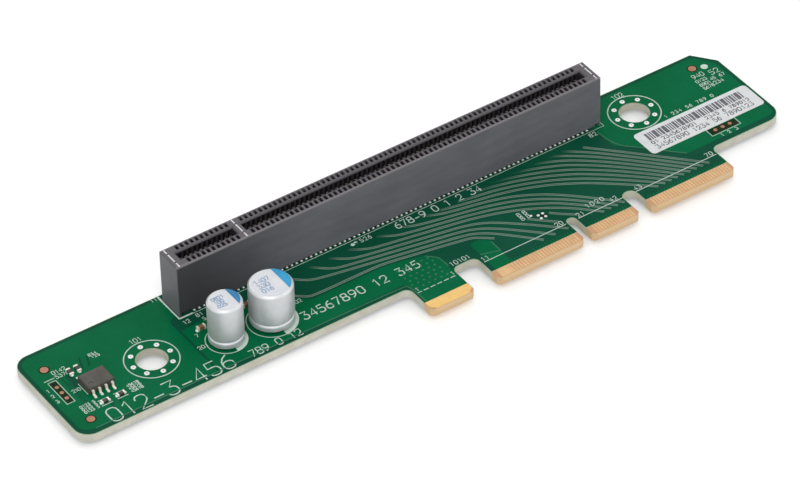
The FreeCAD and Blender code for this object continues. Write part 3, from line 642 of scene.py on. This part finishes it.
def copper_areas():
    """Wide copper areas under the mask on the top face, as (name, outlines)."""
    left = LEFT + COPPER_BAND
    right = RIGHT - COPPER_BAND
    back = BACK - COPPER_BAND
    front = FRONT + 1.2
    split = 7.4
    end_radius = band_corner(3.2)
    holes = [round_line(x, y, HOLE_CLEAR) for x, y in HOLES]
    left_area = rounded([
        (left, back, end_radius), (slot_low.x - 0.4, back, 0.2), (slot_low.x - 0.4, 7.1, 0.2),
        (split, 6.3, 1.2), (split, front, 0.2), (left, front, end_radius)], 0.3)
    front_area = rounded([
        (split + 0.5, 3.0), (12.0, 3.4), (26.5, 2.6), (28.9, -1.9, 1.0), (31.0, -3.1), (45.6, -3.1, 1.5),
        (50.0, -4.0, 1.5), (53.2, -5.1, 1.0), (54.5, -6.6, 0.8), (54.5, -9.6, 0.8), (54.3, MASK_LINE + 0.1),
        (46.0, MASK_LINE + 0.1), (46.0, -9.9, 0.5), (45.3, front, 0.4), (split + 0.5, front)], 0.3)
    patch = rounded([
        (60.8, -6.9, 0.8), (63.1, -6.8, 0.9), (64.4, -8.4, 0.6), (64.2, MASK_LINE + 0.1), (60.7, MASK_LINE + 0.1)],
        0.2)
    right_area = rounded([
        (right, front, band_corner(2.4)), (right, 8.6, 1.0), (123.3, back, 1.0), (97.0, back), (97.0, 0.4, 0.6),
        (101.0, -3.3, 1.5), (103.3, -6.0, 1.5), (106.4, -9.1, 0.8), (109.0, front, 0.6)], 0.3)
    low, high = corners("chip_body")
    gaps = [box_line(low.x - 1.0, low.y + 2.9, low.x + 0.2, high.y + 2.6),
            slanted(low.x - 1.7, low.y - 1.2, low.x - 1.7, high.y + 2.7, 0.22),
            slanted(low.x - 1.25, low.y - 1.2, low.x - 1.25, high.y + 1.0, 0.22),
            slanted(high.x - 2.4, high.y + 2.4, high.x - 1.5, high.y + 5.2, 0.42),
            slanted(high.x - 1.1, high.y + 2.4, high.x - 0.2, high.y + 4.9, 0.42),
            slanted(low.x + 1.6, low.y - 5.0, low.x + 2.1, low.y - 3.7, 0.5),
            slanted(low.x + 3.3, low.y - 4.6, low.x + 3.6, low.y - 3.7, 0.4)]
    return [("copper_left", [left_area, holes[0]] + gaps), ("copper_front", [front_area]),
            ("copper_patch", [patch]), ("copper_right", [right_area, holes[1]])]


def copper_edges():
    """Edges of the wide copper areas that catch the light."""
    front = FRONT + 1.1
    return [[(LEFT + 3.2, front), (45.0, front), (46.2, front - 0.9), (46.2, MASK_LINE + 0.3)],
            [(52.8, -4.95), (54.3, -6.3), (54.6, -7.2), (54.6, -9.4)],
            [(60.7, -10.2), (64.2, -11.3)], [(64.3, -8.4), (64.3, -11.4)],
            [(97.0, 5.0), (97.0, 0.5), (101.0, -3.2), (103.3, -5.9), (106.4, -9.0)]]


def make_mask():
    face_skin("mask_top", 1)
    face_skin("mask_bottom", -1)
    for name, outlines in copper_areas():
        dress(sheet_of(outlines, COPPER_LIFT, MASK_TOP, COPPER_EDGE), name, "mask_copper")
    # the copper edge lines take the lighter mask_edge colour: a painted highlight along the edges
    dress(strokes(copper_edges(), 0.3, COPPER_TOP, smooth=True, height=0.03), "copper_edges", "mask_edge")


# ---- traces
LANE_START = 4.4
LANE_HOOK = 3.2
LANE_END = -13.4
LANE_STEP = 2.5


def along(stations, x, column):
    """A station value read at x, straight between stations."""
    for (x0, *first), (x1, *second) in zip(stations, stations[1:]):
        if x0 <= x <= x1:
            share = (x - x0) / (x1 - x0)
            return first[column] + share * (second[column] - first[column])
    return stations[-1][column + 1]


def bundle(stations, starts, hooked=True):
    """Lanes that leave the slot at each start, in a hook or straight, and run side by side to the card edge.

    A station is (x, y of the nearest lane, distance from each lane to the next)."""
    lanes = []
    for number, start in enumerate(starts):
        def level(x):
            return along(stations, x, 0) + number * along(stations, x, 1)

        joined = start + LANE_HOOK
        if hooked:
            lane = [(start, LANE_START), (start + 1.2, LANE_START + 0.4 * (level(joined) - LANE_START)),
                    (joined, level(joined) + 0.1)]
        else:
            lane = [(joined - reach, level(joined - reach)) for reach in (2.4, 1.2, 0.0)]
        x = joined + LANE_STEP
        while level(x) > LANE_END:
            lane.append((x, level(x)))
            x += LANE_STEP
        last_x, last_y = lane[-1]
        share = (last_y - LANE_END) / (last_y - level(x))
        lanes.append(lane + [(last_x + share * (x - last_x), LANE_END)])
    return lanes


def lanes_to_tabs():
    """The bundles that run to the three card edge tabs, and the loose routes beside them."""
    first = bundle([(30, 1.9, 1.3), (37.5, 0.3, 1.2), (42.5, -0.7, 1.2), (55, -3.1, 1.17), (62.5, -4.6, 1.2),
                    (65, -6.0, 1.5), (67.5, -8.5, 2.1), (72.5, -13.9, 2.6), (80, -22.0, 3.0)],
                   [29.8, 34.9, 38.9])
    second = bundle([(43, 2.8, 1.25), (52.5, 0.98, 1.23), (60, -0.46, 1.14), (65, -1.44, 1.11),
                     (70, -2.93, 1.26), (75, -5.14, 1.44), (80, -8.3, 1.49), (85, -13.3, 1.6), (92, -21.0, 1.6)],
                    [42.8, 48.9, 53.0, 58.2])
    third = bundle([(61, 3.9, 1.05), (67.5, 2.36, 1.05), (72.5, 1.41, 1.2), (77.5, -0.09, 1.24),
                    (82.5, -2.33, 1.37), (87.5, -5.46, 1.55), (92.5, -9.59, 1.58), (97.5, -14.0, 1.48),
                    (110, -27.5, 1.5)],
                   [61.2 + 3.8 * number for number in range(9)], hooked=False)
    loose = [[(26.5, 1.2), (28.8, -0.6), (30.2, -1.9), (31.5, -2.33), (38.0, -2.33), (44.5, -2.3), (47.5, -2.73),
              (55.0, -4.19), (60.0, -5.2), (62.3, -5.74), (63.5, -6.6), (65.3, -8.1)],
             [(73.0, -7.2), (75.0, -9.2), (77.0, -11.0)],
             [(77.0, -8.0), (79.0, -10.0), (80.8, -11.3)]]
    return first + second + third + loose


def beside(line, distance):
    """A line at a distance to the left of another one."""
    made = []
    for number, (x, y) in enumerate(line):
        x0, y0 = line[max(number - 1, 0)]
        x1, y1 = line[min(number + 1, len(line) - 1)]
        run = math.hypot(x1 - x0, y1 - y0)
        made.append((x - (y1 - y0) / run * distance, y + (x1 - x0) / run * distance))
    return made


def finger_stubs():
    """Short copper runs that carry each finger on under the mask."""
    made = []
    for tab in ("first", "second", "third"):
        for start, end in spans(tab + "_tab_fingers_top"):
            if end - start < 1.0:
                middle = 0.5 * (start + end)
                made.append([(middle, MASK_LINE + 0.05), (middle, MASK_LINE + 0.9)])
    return made


def make_traces():
    """Pairs of traces and finger stubs on the top face, and the same on the underside."""
    offset = 0.5 * (TRACE_WIDTH + TRACE_GAP)
    pairs = [beside(lane, way * offset) for lane in lanes_to_tabs() for way in (1, -1)]
    for name, lines, width, smooth, height, finish in (
            ("traces", pairs, TRACE_WIDTH, True, 0.04, "mask_trace"),
            ("finger_stubs", finger_stubs(), 0.3, False, 0.03, "mask_copper")):
        for face in ("top", "bottom"):
            thing = strokes(lines, width, MASK_TOP, smooth=smooth, height=height)
            dress(under(thing) if face == "bottom" else thing, name + "_" + face, finish)


# ---- solder on the board
# Beads as (radius along x, radius along y, height).
FOOT_BEAD = (0.27, 0.27, 0.26)
FOOT_INSET = 0.04
LONG_BEAD = (0.3, 0.4, 0.2)
LEAD_BEAD = (0.3, 0.3, 0.12)
VIA_DIMPLE = (0.15, 0.15, 0.04)
TENT_BUMP = (0.24, 0.24, 0.04)


def solder_bead(radius_x, radius_y, height):
    """One low bead of solder, made at the origin, with a flat foot."""
    bpy.ops.mesh.primitive_uv_sphere_add(segments=8, ring_count=6, radius=MM)
    bead = bpy.context.object
    bead.scale = (radius_x, radius_y, height)
    bpy.ops.object.transform_apply(location=False, rotation=False, scale=True)
    open_up(bead)
    bpy.ops.mesh.bisect(plane_co=(0, 0, 0), plane_no=(0, 0, 1), use_fill=True, clear_inner=True,
                        threshold=SAME_PLACE)
    bpy.ops.object.mode_set(mode="OBJECT")
    bpy.ops.object.shade_smooth_by_angle(angle=math.radians(50))
    return bead


def make_solder():
    """Beads of solder over the contacts' feet, on small parts' ends and on the chip's feet."""
    for face, way, y in (("front", 1, slot_low.y), ("back", -1, slot_high.y)):
        rows = spans("contacts_%s_short" % face) + spans("contacts_%s_long" % face)
        places = [(0.5 * (start + end), y + FOOT_INSET * way, MASK_TOP) for start, end in rows]
        dress(copies(solder_bead(*FOOT_BEAD), places), "contact_solder_" + face, "solder")

    along_card = []
    across_card = []
    for name in nodes:
        if not name.endswith("_ends"):
            continue
        low, high = corners(name)
        x, y = 0.5 * (low.x + high.x), 0.5 * (low.y + high.y)
        if high.x - low.x > high.y - low.y:
            along_card += [(low.x, y, MASK_TOP), (high.x, y, MASK_TOP)]
        else:
            across_card += [(x, low.y, MASK_TOP), (x, high.y, MASK_TOP)]
    low, high = corners("chip_leads")
    for start, end in spans("chip_leads"):
        across_card += [(0.5 * (start + end), y, MASK_TOP) for y in (low.y + 0.1, high.y - 0.1)]
    beads = [copies(solder_bead(*LONG_BEAD), along_card), copies(solder_bead(*LEAD_BEAD), across_card)]
    dress(join(beads), "part_solder", "solder")

    for side, (x, y) in zip(SIDES, HOLES):
        _, reach, _, high = round_size("mount_vias_" + side)
        places = [(*spot, high.z - 0.02) for spot in round_line(x, y, reach - 0.54, 8)]
        dress(copies(solder_bead(*VIA_DIMPLE), places), "via_dimples_" + side, "via_grey")


def make_tented_vias():
    """Vias covered by the mask in the copper behind the power tab, in slanting rows."""
    places = []
    for row in range(6):
        for number in range(7):
            x = 46.6 + 1.25 * number + 0.35 * (row % 2)
            if x < 54.0 - 0.3 * max(0, 2 - row):
                places.append((x, -5.6 - 1.1 * row, COPPER_TOP))
    dress(copies(solder_bead(*TENT_BUMP), places), "tented_vias", "mask_edge")


# ---- bare openings in the mask
def pad_box(side):
    """The printed box round a row of three pads, as (left, front, right, back)."""
    low, high = corners("pad_row_" + side)
    if side == "left":
        return low.x - 0.4, low.y - 1.05, high.x + 0.4, high.y + 1.3
    return low.x - 1.1, low.y - 0.75, high.x + 1.25, high.y + 0.55


def land_centres(node):
    """Centres of the separate round lands in a node; two of one land's corners are never far apart."""
    reach, gap = 1.7, 0.62
    lands = []
    for vertex in nodes[node].data.vertices:
        spot = vertex.co.xy / MM
        for land in lands:
            if (land[0] - spot).length < reach and min((other - spot).length for other in land) < gap:
                land.append(spot)
                break
        else:
            lands.append([spot])
    return [tuple(0.5 * (min(reads) + max(reads)) for reads in zip(*land)) for land in lands]


def make_openings():
    """Bare dark laminate round the lands and under the rows of pads."""
    discs = []
    for node, radius in (("fiducials", 0.98), ("test_pads", 0.36)):
        discs += [round_line(x, y, radius, 24) for x, y in land_centres(node)]
    dress(sheet_of(discs, OPENING_THICK, COPPER_TOP), "land_openings", "bare_opening")
    inset = 0.2
    for side in SIDES:
        left, front, right, back = pad_box(side)
        window = rounded(box_line(left + inset, front + inset, right - inset, back - inset), 0.1)
        dress(sheet_of([window], OPENING_THICK, COPPER_TOP), "pad_window_" + side, "bare_opening")


# ---- printing
CAN_KINDS = ("small", "large")
CAN_RINGS = [(middle.x, middle.y, radius + 0.5)
             for middle, radius, _, _ in (round_size("capacitor_%s_can" % kind) for kind in CAN_KINDS)]


def print_lines():
    """Closed, open and fine lines printed on the top face."""
    closed = [box_line(*pad_box(side)) for side in SIDES] + [round_line(*ring) for ring in CAN_RINGS]
    slot_front = slot_low.y - 0.52
    slot_right = slot_high.x + 0.35
    fine_lines = [[(slot_low.x - 0.3, slot_front), (slot_right, slot_front), (slot_right, slot_front + 1.6)]]
    open_lines = [[(-18.0, 5.5), (-16.0, 5.5)]]
    dashes = [(46.1 + 1.4 * number, 47.1 + 1.4 * number) for number in range(6)]
    for start, end in [(60.2, 77.6), (80.3, 89.9), (92.7, 110.4)] + dashes:
        open_lines.append([(start, MASK_LINE + 2.85), (end, MASK_LINE + 2.85)])
    low, high = corners("chip_body")
    open_lines.append([(low.x - 0.15, low.y + 0.3), (low.x - 0.15, high.y - 0.3)])
    for side in SIDES:
        low, high = corners("resistor_front_%s_body" % side)
        for y in (low.y - 0.35, high.y + 0.35):
            open_lines.append([(low.x - 0.3, y), (high.x + 0.3, y)])
    return closed, open_lines, fine_lines


# Plain numbers printed on the top face: height, pitch from numeral to numeral in heights, then the
# text and place of each.
NUMBERS = [
    (3.5, 0.8, ("012-3-456", -13.5, -9.85)),
    (1.9, 0.86, ("34567890 12 345", 26.7, -6.8)),
    (1.7, 0.78, ("789 0 12", 14.2, -9.6)),
    (1.6, 0.82, ("678-9 0 1 2 34", 53.1, 3.8)),
    (1.3, 0.85, ("52", 123.4, 6.2)),
    (1.1, 0.8, ("940", 120.0, 7.0)),
    (1.1, 0.75, ("102", 104.7, 10.65)),
    (1.0, 1.2, ("88", 72.0, -5.95), ("88", 72.0, -7.1)),
    (1.0, 1.05, ("1020", 83.2, -10.9)),
    (1.0, 0.85, ("10101", 55.0, -9.9)),
    (1.0, 0.8, ("101", -0.9, 5.15)),
    (0.95, 0.9, ("82", 95.2, 4.5), ("20", 75.9, -11.95), ("21", 80.5, -11.95), ("42", 87.6, -11.95),
     ("43", 92.9, -11.95), ("70", 108.6, -11.95)),
    (0.95, 0.85, ("11", 60.2, -11.95)),
    (0.9, 0.95, ("526", 45.9, 4.5)),
    (0.9, 0.8, ("12", 9.3, 4.2), ("234", 122.3, 3.6)),
    (0.85, 0.9, ("81", 12.1, 4.55)),
    (0.85, 0.85, ("201", 7.8, -2.85), ("202", 27.0, -2.45)),
    (0.85, 0.8, ("11", 7.7, 12.25), ("1", 46.4, -11.85), ("1", 53.8, -11.85), ("0142", -15.7, 6.3),
     ("5376", -15.7, 5.1)),
    (0.8, 0.8, ("7", 9.2, 0.15), ("5", 12.6, 3.2), ("67", 124.4, 4.9)),
    (0.75, 1.05, ("1 234 56 789 0", 109.3, 1.1)),
    (0.75, 0.8, ("0123", 119.8, 5.75), ("45", 122.4, 5.0), ("8901", 119.8, 4.55), ("5678", 119.8, 3.45),
     ("1", -18.8, 2.85), ("2", -18.8, 1.3), ("3", -18.8, -0.25), ("1", 114.4, -8.9), ("2", 115.9, -8.9),
     ("3", 117.5, -8.9)),
    (0.75, 0.7, ("210", -15.3, 0.35)),
    (0.6, 0.95, ("834", -8.3, 6.75), ("125", -8.1, 6.0)),
    # three tight rows at each end of the resistors in front of the chip
    (0.58, 0.85, *((text, x, -3.65 - 0.78 * row) for text, x in (("0123 5", -16.3), ("45678", -7.15))
                   for row in range(3))),
]
# Width of a numeral's line, and the heights above and up to which it is used.
NUMBER_WIDTHS = [(0.3, 1.8, 3.5), (0.24, 1.5, 1.8), (0.17, 0.0, 1.5)]


def hole_rings():
    """Printed rings round both mounting holes."""
    rings = [round_line(x, y, RING_RADIUS, 64) for x, y in HOLES]
    return strokes(rings, RING_WIDTH, COPPER_TOP, closed=True, sides=0)


def make_printing():
    """White printing on the top face, and a little on the underside."""
    closed, open_lines, fine_lines = print_lines()
    left, front = slot_low.x - 0.3, slot_low.y - 0.35
    corner_line = [(left, slot_high.y + 1.0), (left, front), (left + 2.7, front)]
    printed = [hole_rings(), strokes(closed, INK_WIDTH, COPPER_TOP, closed=True, sides=0)]
    for lines, width in ((open_lines, INK_WIDTH), (fine_lines, 0.14), ([corner_line], 0.48)):
        printed.append(strokes(lines, width, COPPER_TOP, sides=0))
    # half-moons under the side of each can that its stripe marks
    moons = [arc_line(*ring, 0.5 * math.pi, 30) for ring in CAN_RINGS]
    dots = [round_line(123.7, 8.9, 0.68, 24), round_line(44.3, 4.85, 0.38, 16), round_line(45.0, 4.95, 0.38, 16)]
    patches = [sheet_of(outlines, INK_THICK, COPPER_TOP) for outlines in (moons, dots)]
    dress(join(printed), "printed_lines", "printing_ink")
    dress(join(patches), "printed_patches", "printing_ink")

    numbers = []
    for width, least, most in NUMBER_WIDTHS:
        lines = [line for height, pitch, *placed in NUMBERS if least < height <= most
                 for text, x, y in placed for line in numeral_lines(text, x, y, height, pitch)]
        numbers.append(strokes(lines, width, COPPER_TOP, sides=0))
    dress(join(numbers), "printed_numbers", "printing_ink")
    dress(under(hole_rings()), "hole_rings_bottom", "printing_ink")


# ---- underside copper
def make_underside():
    """The same wide copper areas on the underside, except where tails and leads are soldered."""
    for name, outlines in copper_areas():
        if name != "copper_front":
            area = under(sheet_of(outlines, COPPER_LIFT, MASK_TOP, COPPER_EDGE))
            dress(area, name + "_bottom", "mask_copper")


# ---- capacitor cans
GROOVE_BASE = 1.0
GROOVE_HEIGHT = 0.6
GROOVE_DEPTH = 0.28
SHOULDER = 0.45
RIM = 0.22
TOP_SINK = 0.05


def can_body(kind):
    """A drawn can: rolled top edge, a groove pressed round it and a bead below, from one cylinder."""
    middle, radius, low, high = round_size("capacitor_%s_can" % kind)
    bpy.ops.object.select_all(action="DESELECT")
    bpy.ops.mesh.primitive_cylinder_add(vertices=64, radius=radius * MM, depth=(high.z - low.z) * MM)
    can = bpy.context.object
    settle(can, *middle)
    groove = low.z + GROOVE_BASE
    waist = groove + 0.5 * GROOVE_HEIGHT
    for level in (groove, waist, groove + GROOVE_HEIGHT, high.z - SHOULDER):
        open_up(can)
        bpy.ops.mesh.bisect(plane_co=(0, 0, level * MM), plane_no=(0, 0, 1))
    for level, drawn_in in ((waist, GROOVE_DEPTH), (high.z, SHOULDER)):
        choose(can, "VERT", lambda vertex: abs(vertex.co.z - level * MM) < 1e-6)
        share = (radius - drawn_in) / radius
        bpy.ops.transform.resize(value=(share, share, 1.0), center_override=middle * MM)
    choose(can, "FACE", lambda face: face.normal.z > 0.99)
    bpy.ops.mesh.inset(thickness=RIM * MM)
    bpy.ops.transform.translate(value=(0, 0, -TOP_SINK * MM))
    choose(can, "FACE", lambda face: face.normal.z < -0.99)
    bpy.ops.mesh.inset(thickness=0.5 * MM)
    bpy.ops.object.mode_set(mode="OBJECT")
    apply_modifier(can, "BEVEL", width=0.14 * MM, segments=3, limit_method="ANGLE",
                   angle_limit=math.radians(25))
    bpy.ops.object.shade_smooth_by_angle(angle=math.radians(40))
    outward(can)
    dress(can, "can_" + kind, "can_aluminium")
    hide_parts("capacitor_%s_can" % kind)
    return middle, radius, high.z


def can_print(kind, middle, radius, top, rows):
    """White coating on the can's top with a coloured segment and pale plain numbers."""
    face = top - TOP_SINK
    disc = round_line(middle.x, middle.y, radius - SHOULDER - RIM - 0.02)
    dress(sheet_of([disc], 0.02, face), "can_top_" + kind, "can_top_white")
    reach = radius - 0.42
    segment = arc_line(middle.x, middle.y, reach, math.acos(0.49 * radius / reach), 16)
    dress(sheet_of([segment], 0.04, top - 0.01), "can_segment_" + kind, "can_print_blue_" + kind)
    size = 0.24 * radius
    lines = []
    for number, text in enumerate(rows):
        lines += numeral_lines(text, middle.x - 0.6 * radius, middle.y + (0.9 - 1.35 * number) * size, size, 0.8)
    dress(strokes(lines, 0.2, face + 0.03, sides=0), "can_numbers_" + kind, "can_print_pale")


def make_cans():
    for kind, rows in zip(CAN_KINDS, (("0821", "100", "025"), ("1407", "330", "016"))):
        can_print(kind, *can_body(kind), rows)


# ---- label
BAR_WIDTHS = (2, 1, 1, 3, 1, 2, 3, 1, 1, 1, 2, 1, 3, 2, 1, 1, 2, 3, 1, 2, 1, 1, 3, 1, 2, 2, 1, 3, 1, 1, 2, 1, 3, 1)
BAR_GAP = 0.8
BAR_THICK = 0.012
LABEL_NUMBERS = [  # text, distance from the label's left end and its back edge, height, pitch
    ("01 2345678901", 1.7, 4.1, 0.85, 0.9),
    ("2345 6 789012", 13.6, 4.1, 0.8, 0.95),
    ("34567890 1234 56 7890123", 1.7, 5.6, 1.05, 0.86),
]


def make_label_print():
    """Plain bars and rows of numbers on the label, standing for no real code."""
    low, high = corners("label")
    x = low.x + 1.8
    unit = (high.x - 1.9 - x) / (sum(BAR_WIDTHS) + BAR_GAP * len(BAR_WIDTHS))
    bars = []
    for width in BAR_WIDTHS:
        bars.append(box_line(x, high.y - 2.95, x + width * unit, high.y - 0.9))
        x += (width + BAR_GAP) * unit
    dress(sheet_of(bars, BAR_THICK, high.z), "label_bars", "label_ink")
    lines = []
    for text, right, down, height, pitch in LABEL_NUMBERS:
        lines += numeral_lines(text, low.x + right, high.y - down, height, pitch)
    dress(strokes(lines, 0.2, high.z, sides=0), "label_numbers", "label_ink")


# ---- finishes of the carried-over nodes
# How a node's name starts and ends, and its finish; the first row that fits counts.
NODE_FINISHES = [
    ("circuit_board", "", "laminate"), ("slot_housing", "", "slot_plastic"), ("contacts", "", "spring_contact"),
    ("", "_solder", "solder"), ("hold_down", "", "plate_steel"), ("power_finger", "", "gold"),
    ("", "_fingers_top", "gold_fingers"), ("", "_fingers_bottom", "gold_fingers"), ("mount_vias", "", "solder"),
    ("test_pads", "", "solder"), ("fiducials", "", "bare_copper"), ("pad_row", "", "bare_copper"),
    ("", "_can", "can_aluminium"), ("", "_bung", "bung_rubber"), ("capacitor", "_leads", "solder"),
    ("chip_body", "", "chip_black"), ("chip_leads", "", "tinned_lead"), ("ceramic", "_body", "ceramic_tan"),
    ("resistor", "_body", "resistor_black"), ("", "_ends", "tinned_lead"), ("label", "", "label_white"),
]


def dress_nodes():
    """Give every carried-over node its finish."""
    for name, node in nodes.items():
        fitting = [finish for start, end, finish in NODE_FINISHES if name.startswith(start) and name.endswith(end)]
        node.data.materials.clear()
        node.data.materials.append(FINISHES[fitting[0]])


# ---- floor, light and camera
def seen_plainly(tree):
    """1 for the eye, gloss and clear materials, and 0 for light that falls on the object."""
    path = tree.nodes.new("ShaderNodeLightPath").outputs
    direct = wire(tree, "ShaderNodeMath.MAXIMUM", path["Is Camera Ray"], path["Is Glossy Ray"])
    return wire(tree, "ShaderNodeMath.MAXIMUM", direct, path["Is Transmission Ray"])


def make_floor():
    """A plain pale floor that shows white to the eye and still takes the card's shadow."""
    bpy.ops.mesh.primitive_plane_add(size=6.0, location=(0.05, 0.0, cad_box[0].z - 0.0001))
    floor = bpy.context.object
    floor.name = "floor"
    material = bpy.data.materials.new("floor_white")
    material.use_nodes = True
    tree = material.node_tree
    shader = tree.nodes["Principled BSDF"].inputs
    lift = wire(tree, "ShaderNodeMath.MULTIPLY", seen_plainly(tree), 0.3)
    for label, source in (("Base Color", (0.86, 0.86, 0.86, 1)), ("Roughness", 0.9), ("Specular IOR Level", 0.0),
                          ("Emission Color", WHITE), ("Emission Strength", lift)):
        feed(tree, source, shader[label])
    floor.data.materials.append(material)


def make_world():
    """Even soft light from all round; what the eye and gloss see of it is plain white."""
    world = bpy.data.worlds.new("studio")
    bpy.context.scene.world = world
    world.use_nodes = True
    tree = world.node_tree
    light = tree.nodes["Background"]
    feed(tree, WHITE, light.inputs["Color"])
    feed(tree, 0.55, light.inputs["Strength"])
    shown = wire(tree, "ShaderNodeBackground", WHITE, 1.0)
    mix = wire(tree, "ShaderNodeMixShader", seen_plainly(tree), light.outputs["Background"], shown)
    feed(tree, mix, tree.nodes["World Output"].inputs["Surface"])


CARD_MIDDLE = Vector((0.05, 0.0, 0.0))


def add_lamp(name, place, size, power):
    """A square soft box at a place in metres, facing the card."""
    data = bpy.data.lights.new(name, "AREA")
    data.size = size
    data.energy = power
    lamp = new_object(name, data)
    lamp.location = place
    lamp.rotation_euler = (CARD_MIDDLE - Vector(place)).to_track_quat("-Z", "Y").to_euler()


def make_camera():
    """The camera looks down on the card from its front left, slightly rolled."""
    azimuth, elevation, roll = math.radians(33.38), math.radians(40.51), math.radians(-1.516)
    target = Vector((50.21, -1.04, TOP)) * MM
    distance = 0.85377
    data = bpy.data.cameras.new("camera")
    data.sensor_fit = "HORIZONTAL"
    data.sensor_width = 36.0
    data.lens = 221.52
    camera = new_object("camera", data)
    turn = (Matrix.Rotation(-azimuth, 4, "Z") @ Matrix.Rotation(math.pi / 2 - elevation, 4, "X")
            @ Matrix.Rotation(roll, 4, "Z"))
    camera.matrix_world = Matrix.Translation(target) @ turn @ Matrix.Translation((0, 0, distance))
    bpy.context.scene.camera = camera


make_mask()
make_traces()
make_solder()
make_tented_vias()
make_openings()
make_printing()
make_underside()
make_cans()
make_label_print()
dress_nodes()
make_floor()
make_world()
add_lamp("key", (-0.35, -0.45, 0.75), 0.6, 3.2)
add_lamp("fill", (0.55, -0.35, 0.5), 0.5, 0.8)
add_lamp("back", (0.1, 0.7, 0.55), 0.5, 1.2)
make_camera()

bpy.context.scene.view_settings.view_transform = "Standard"
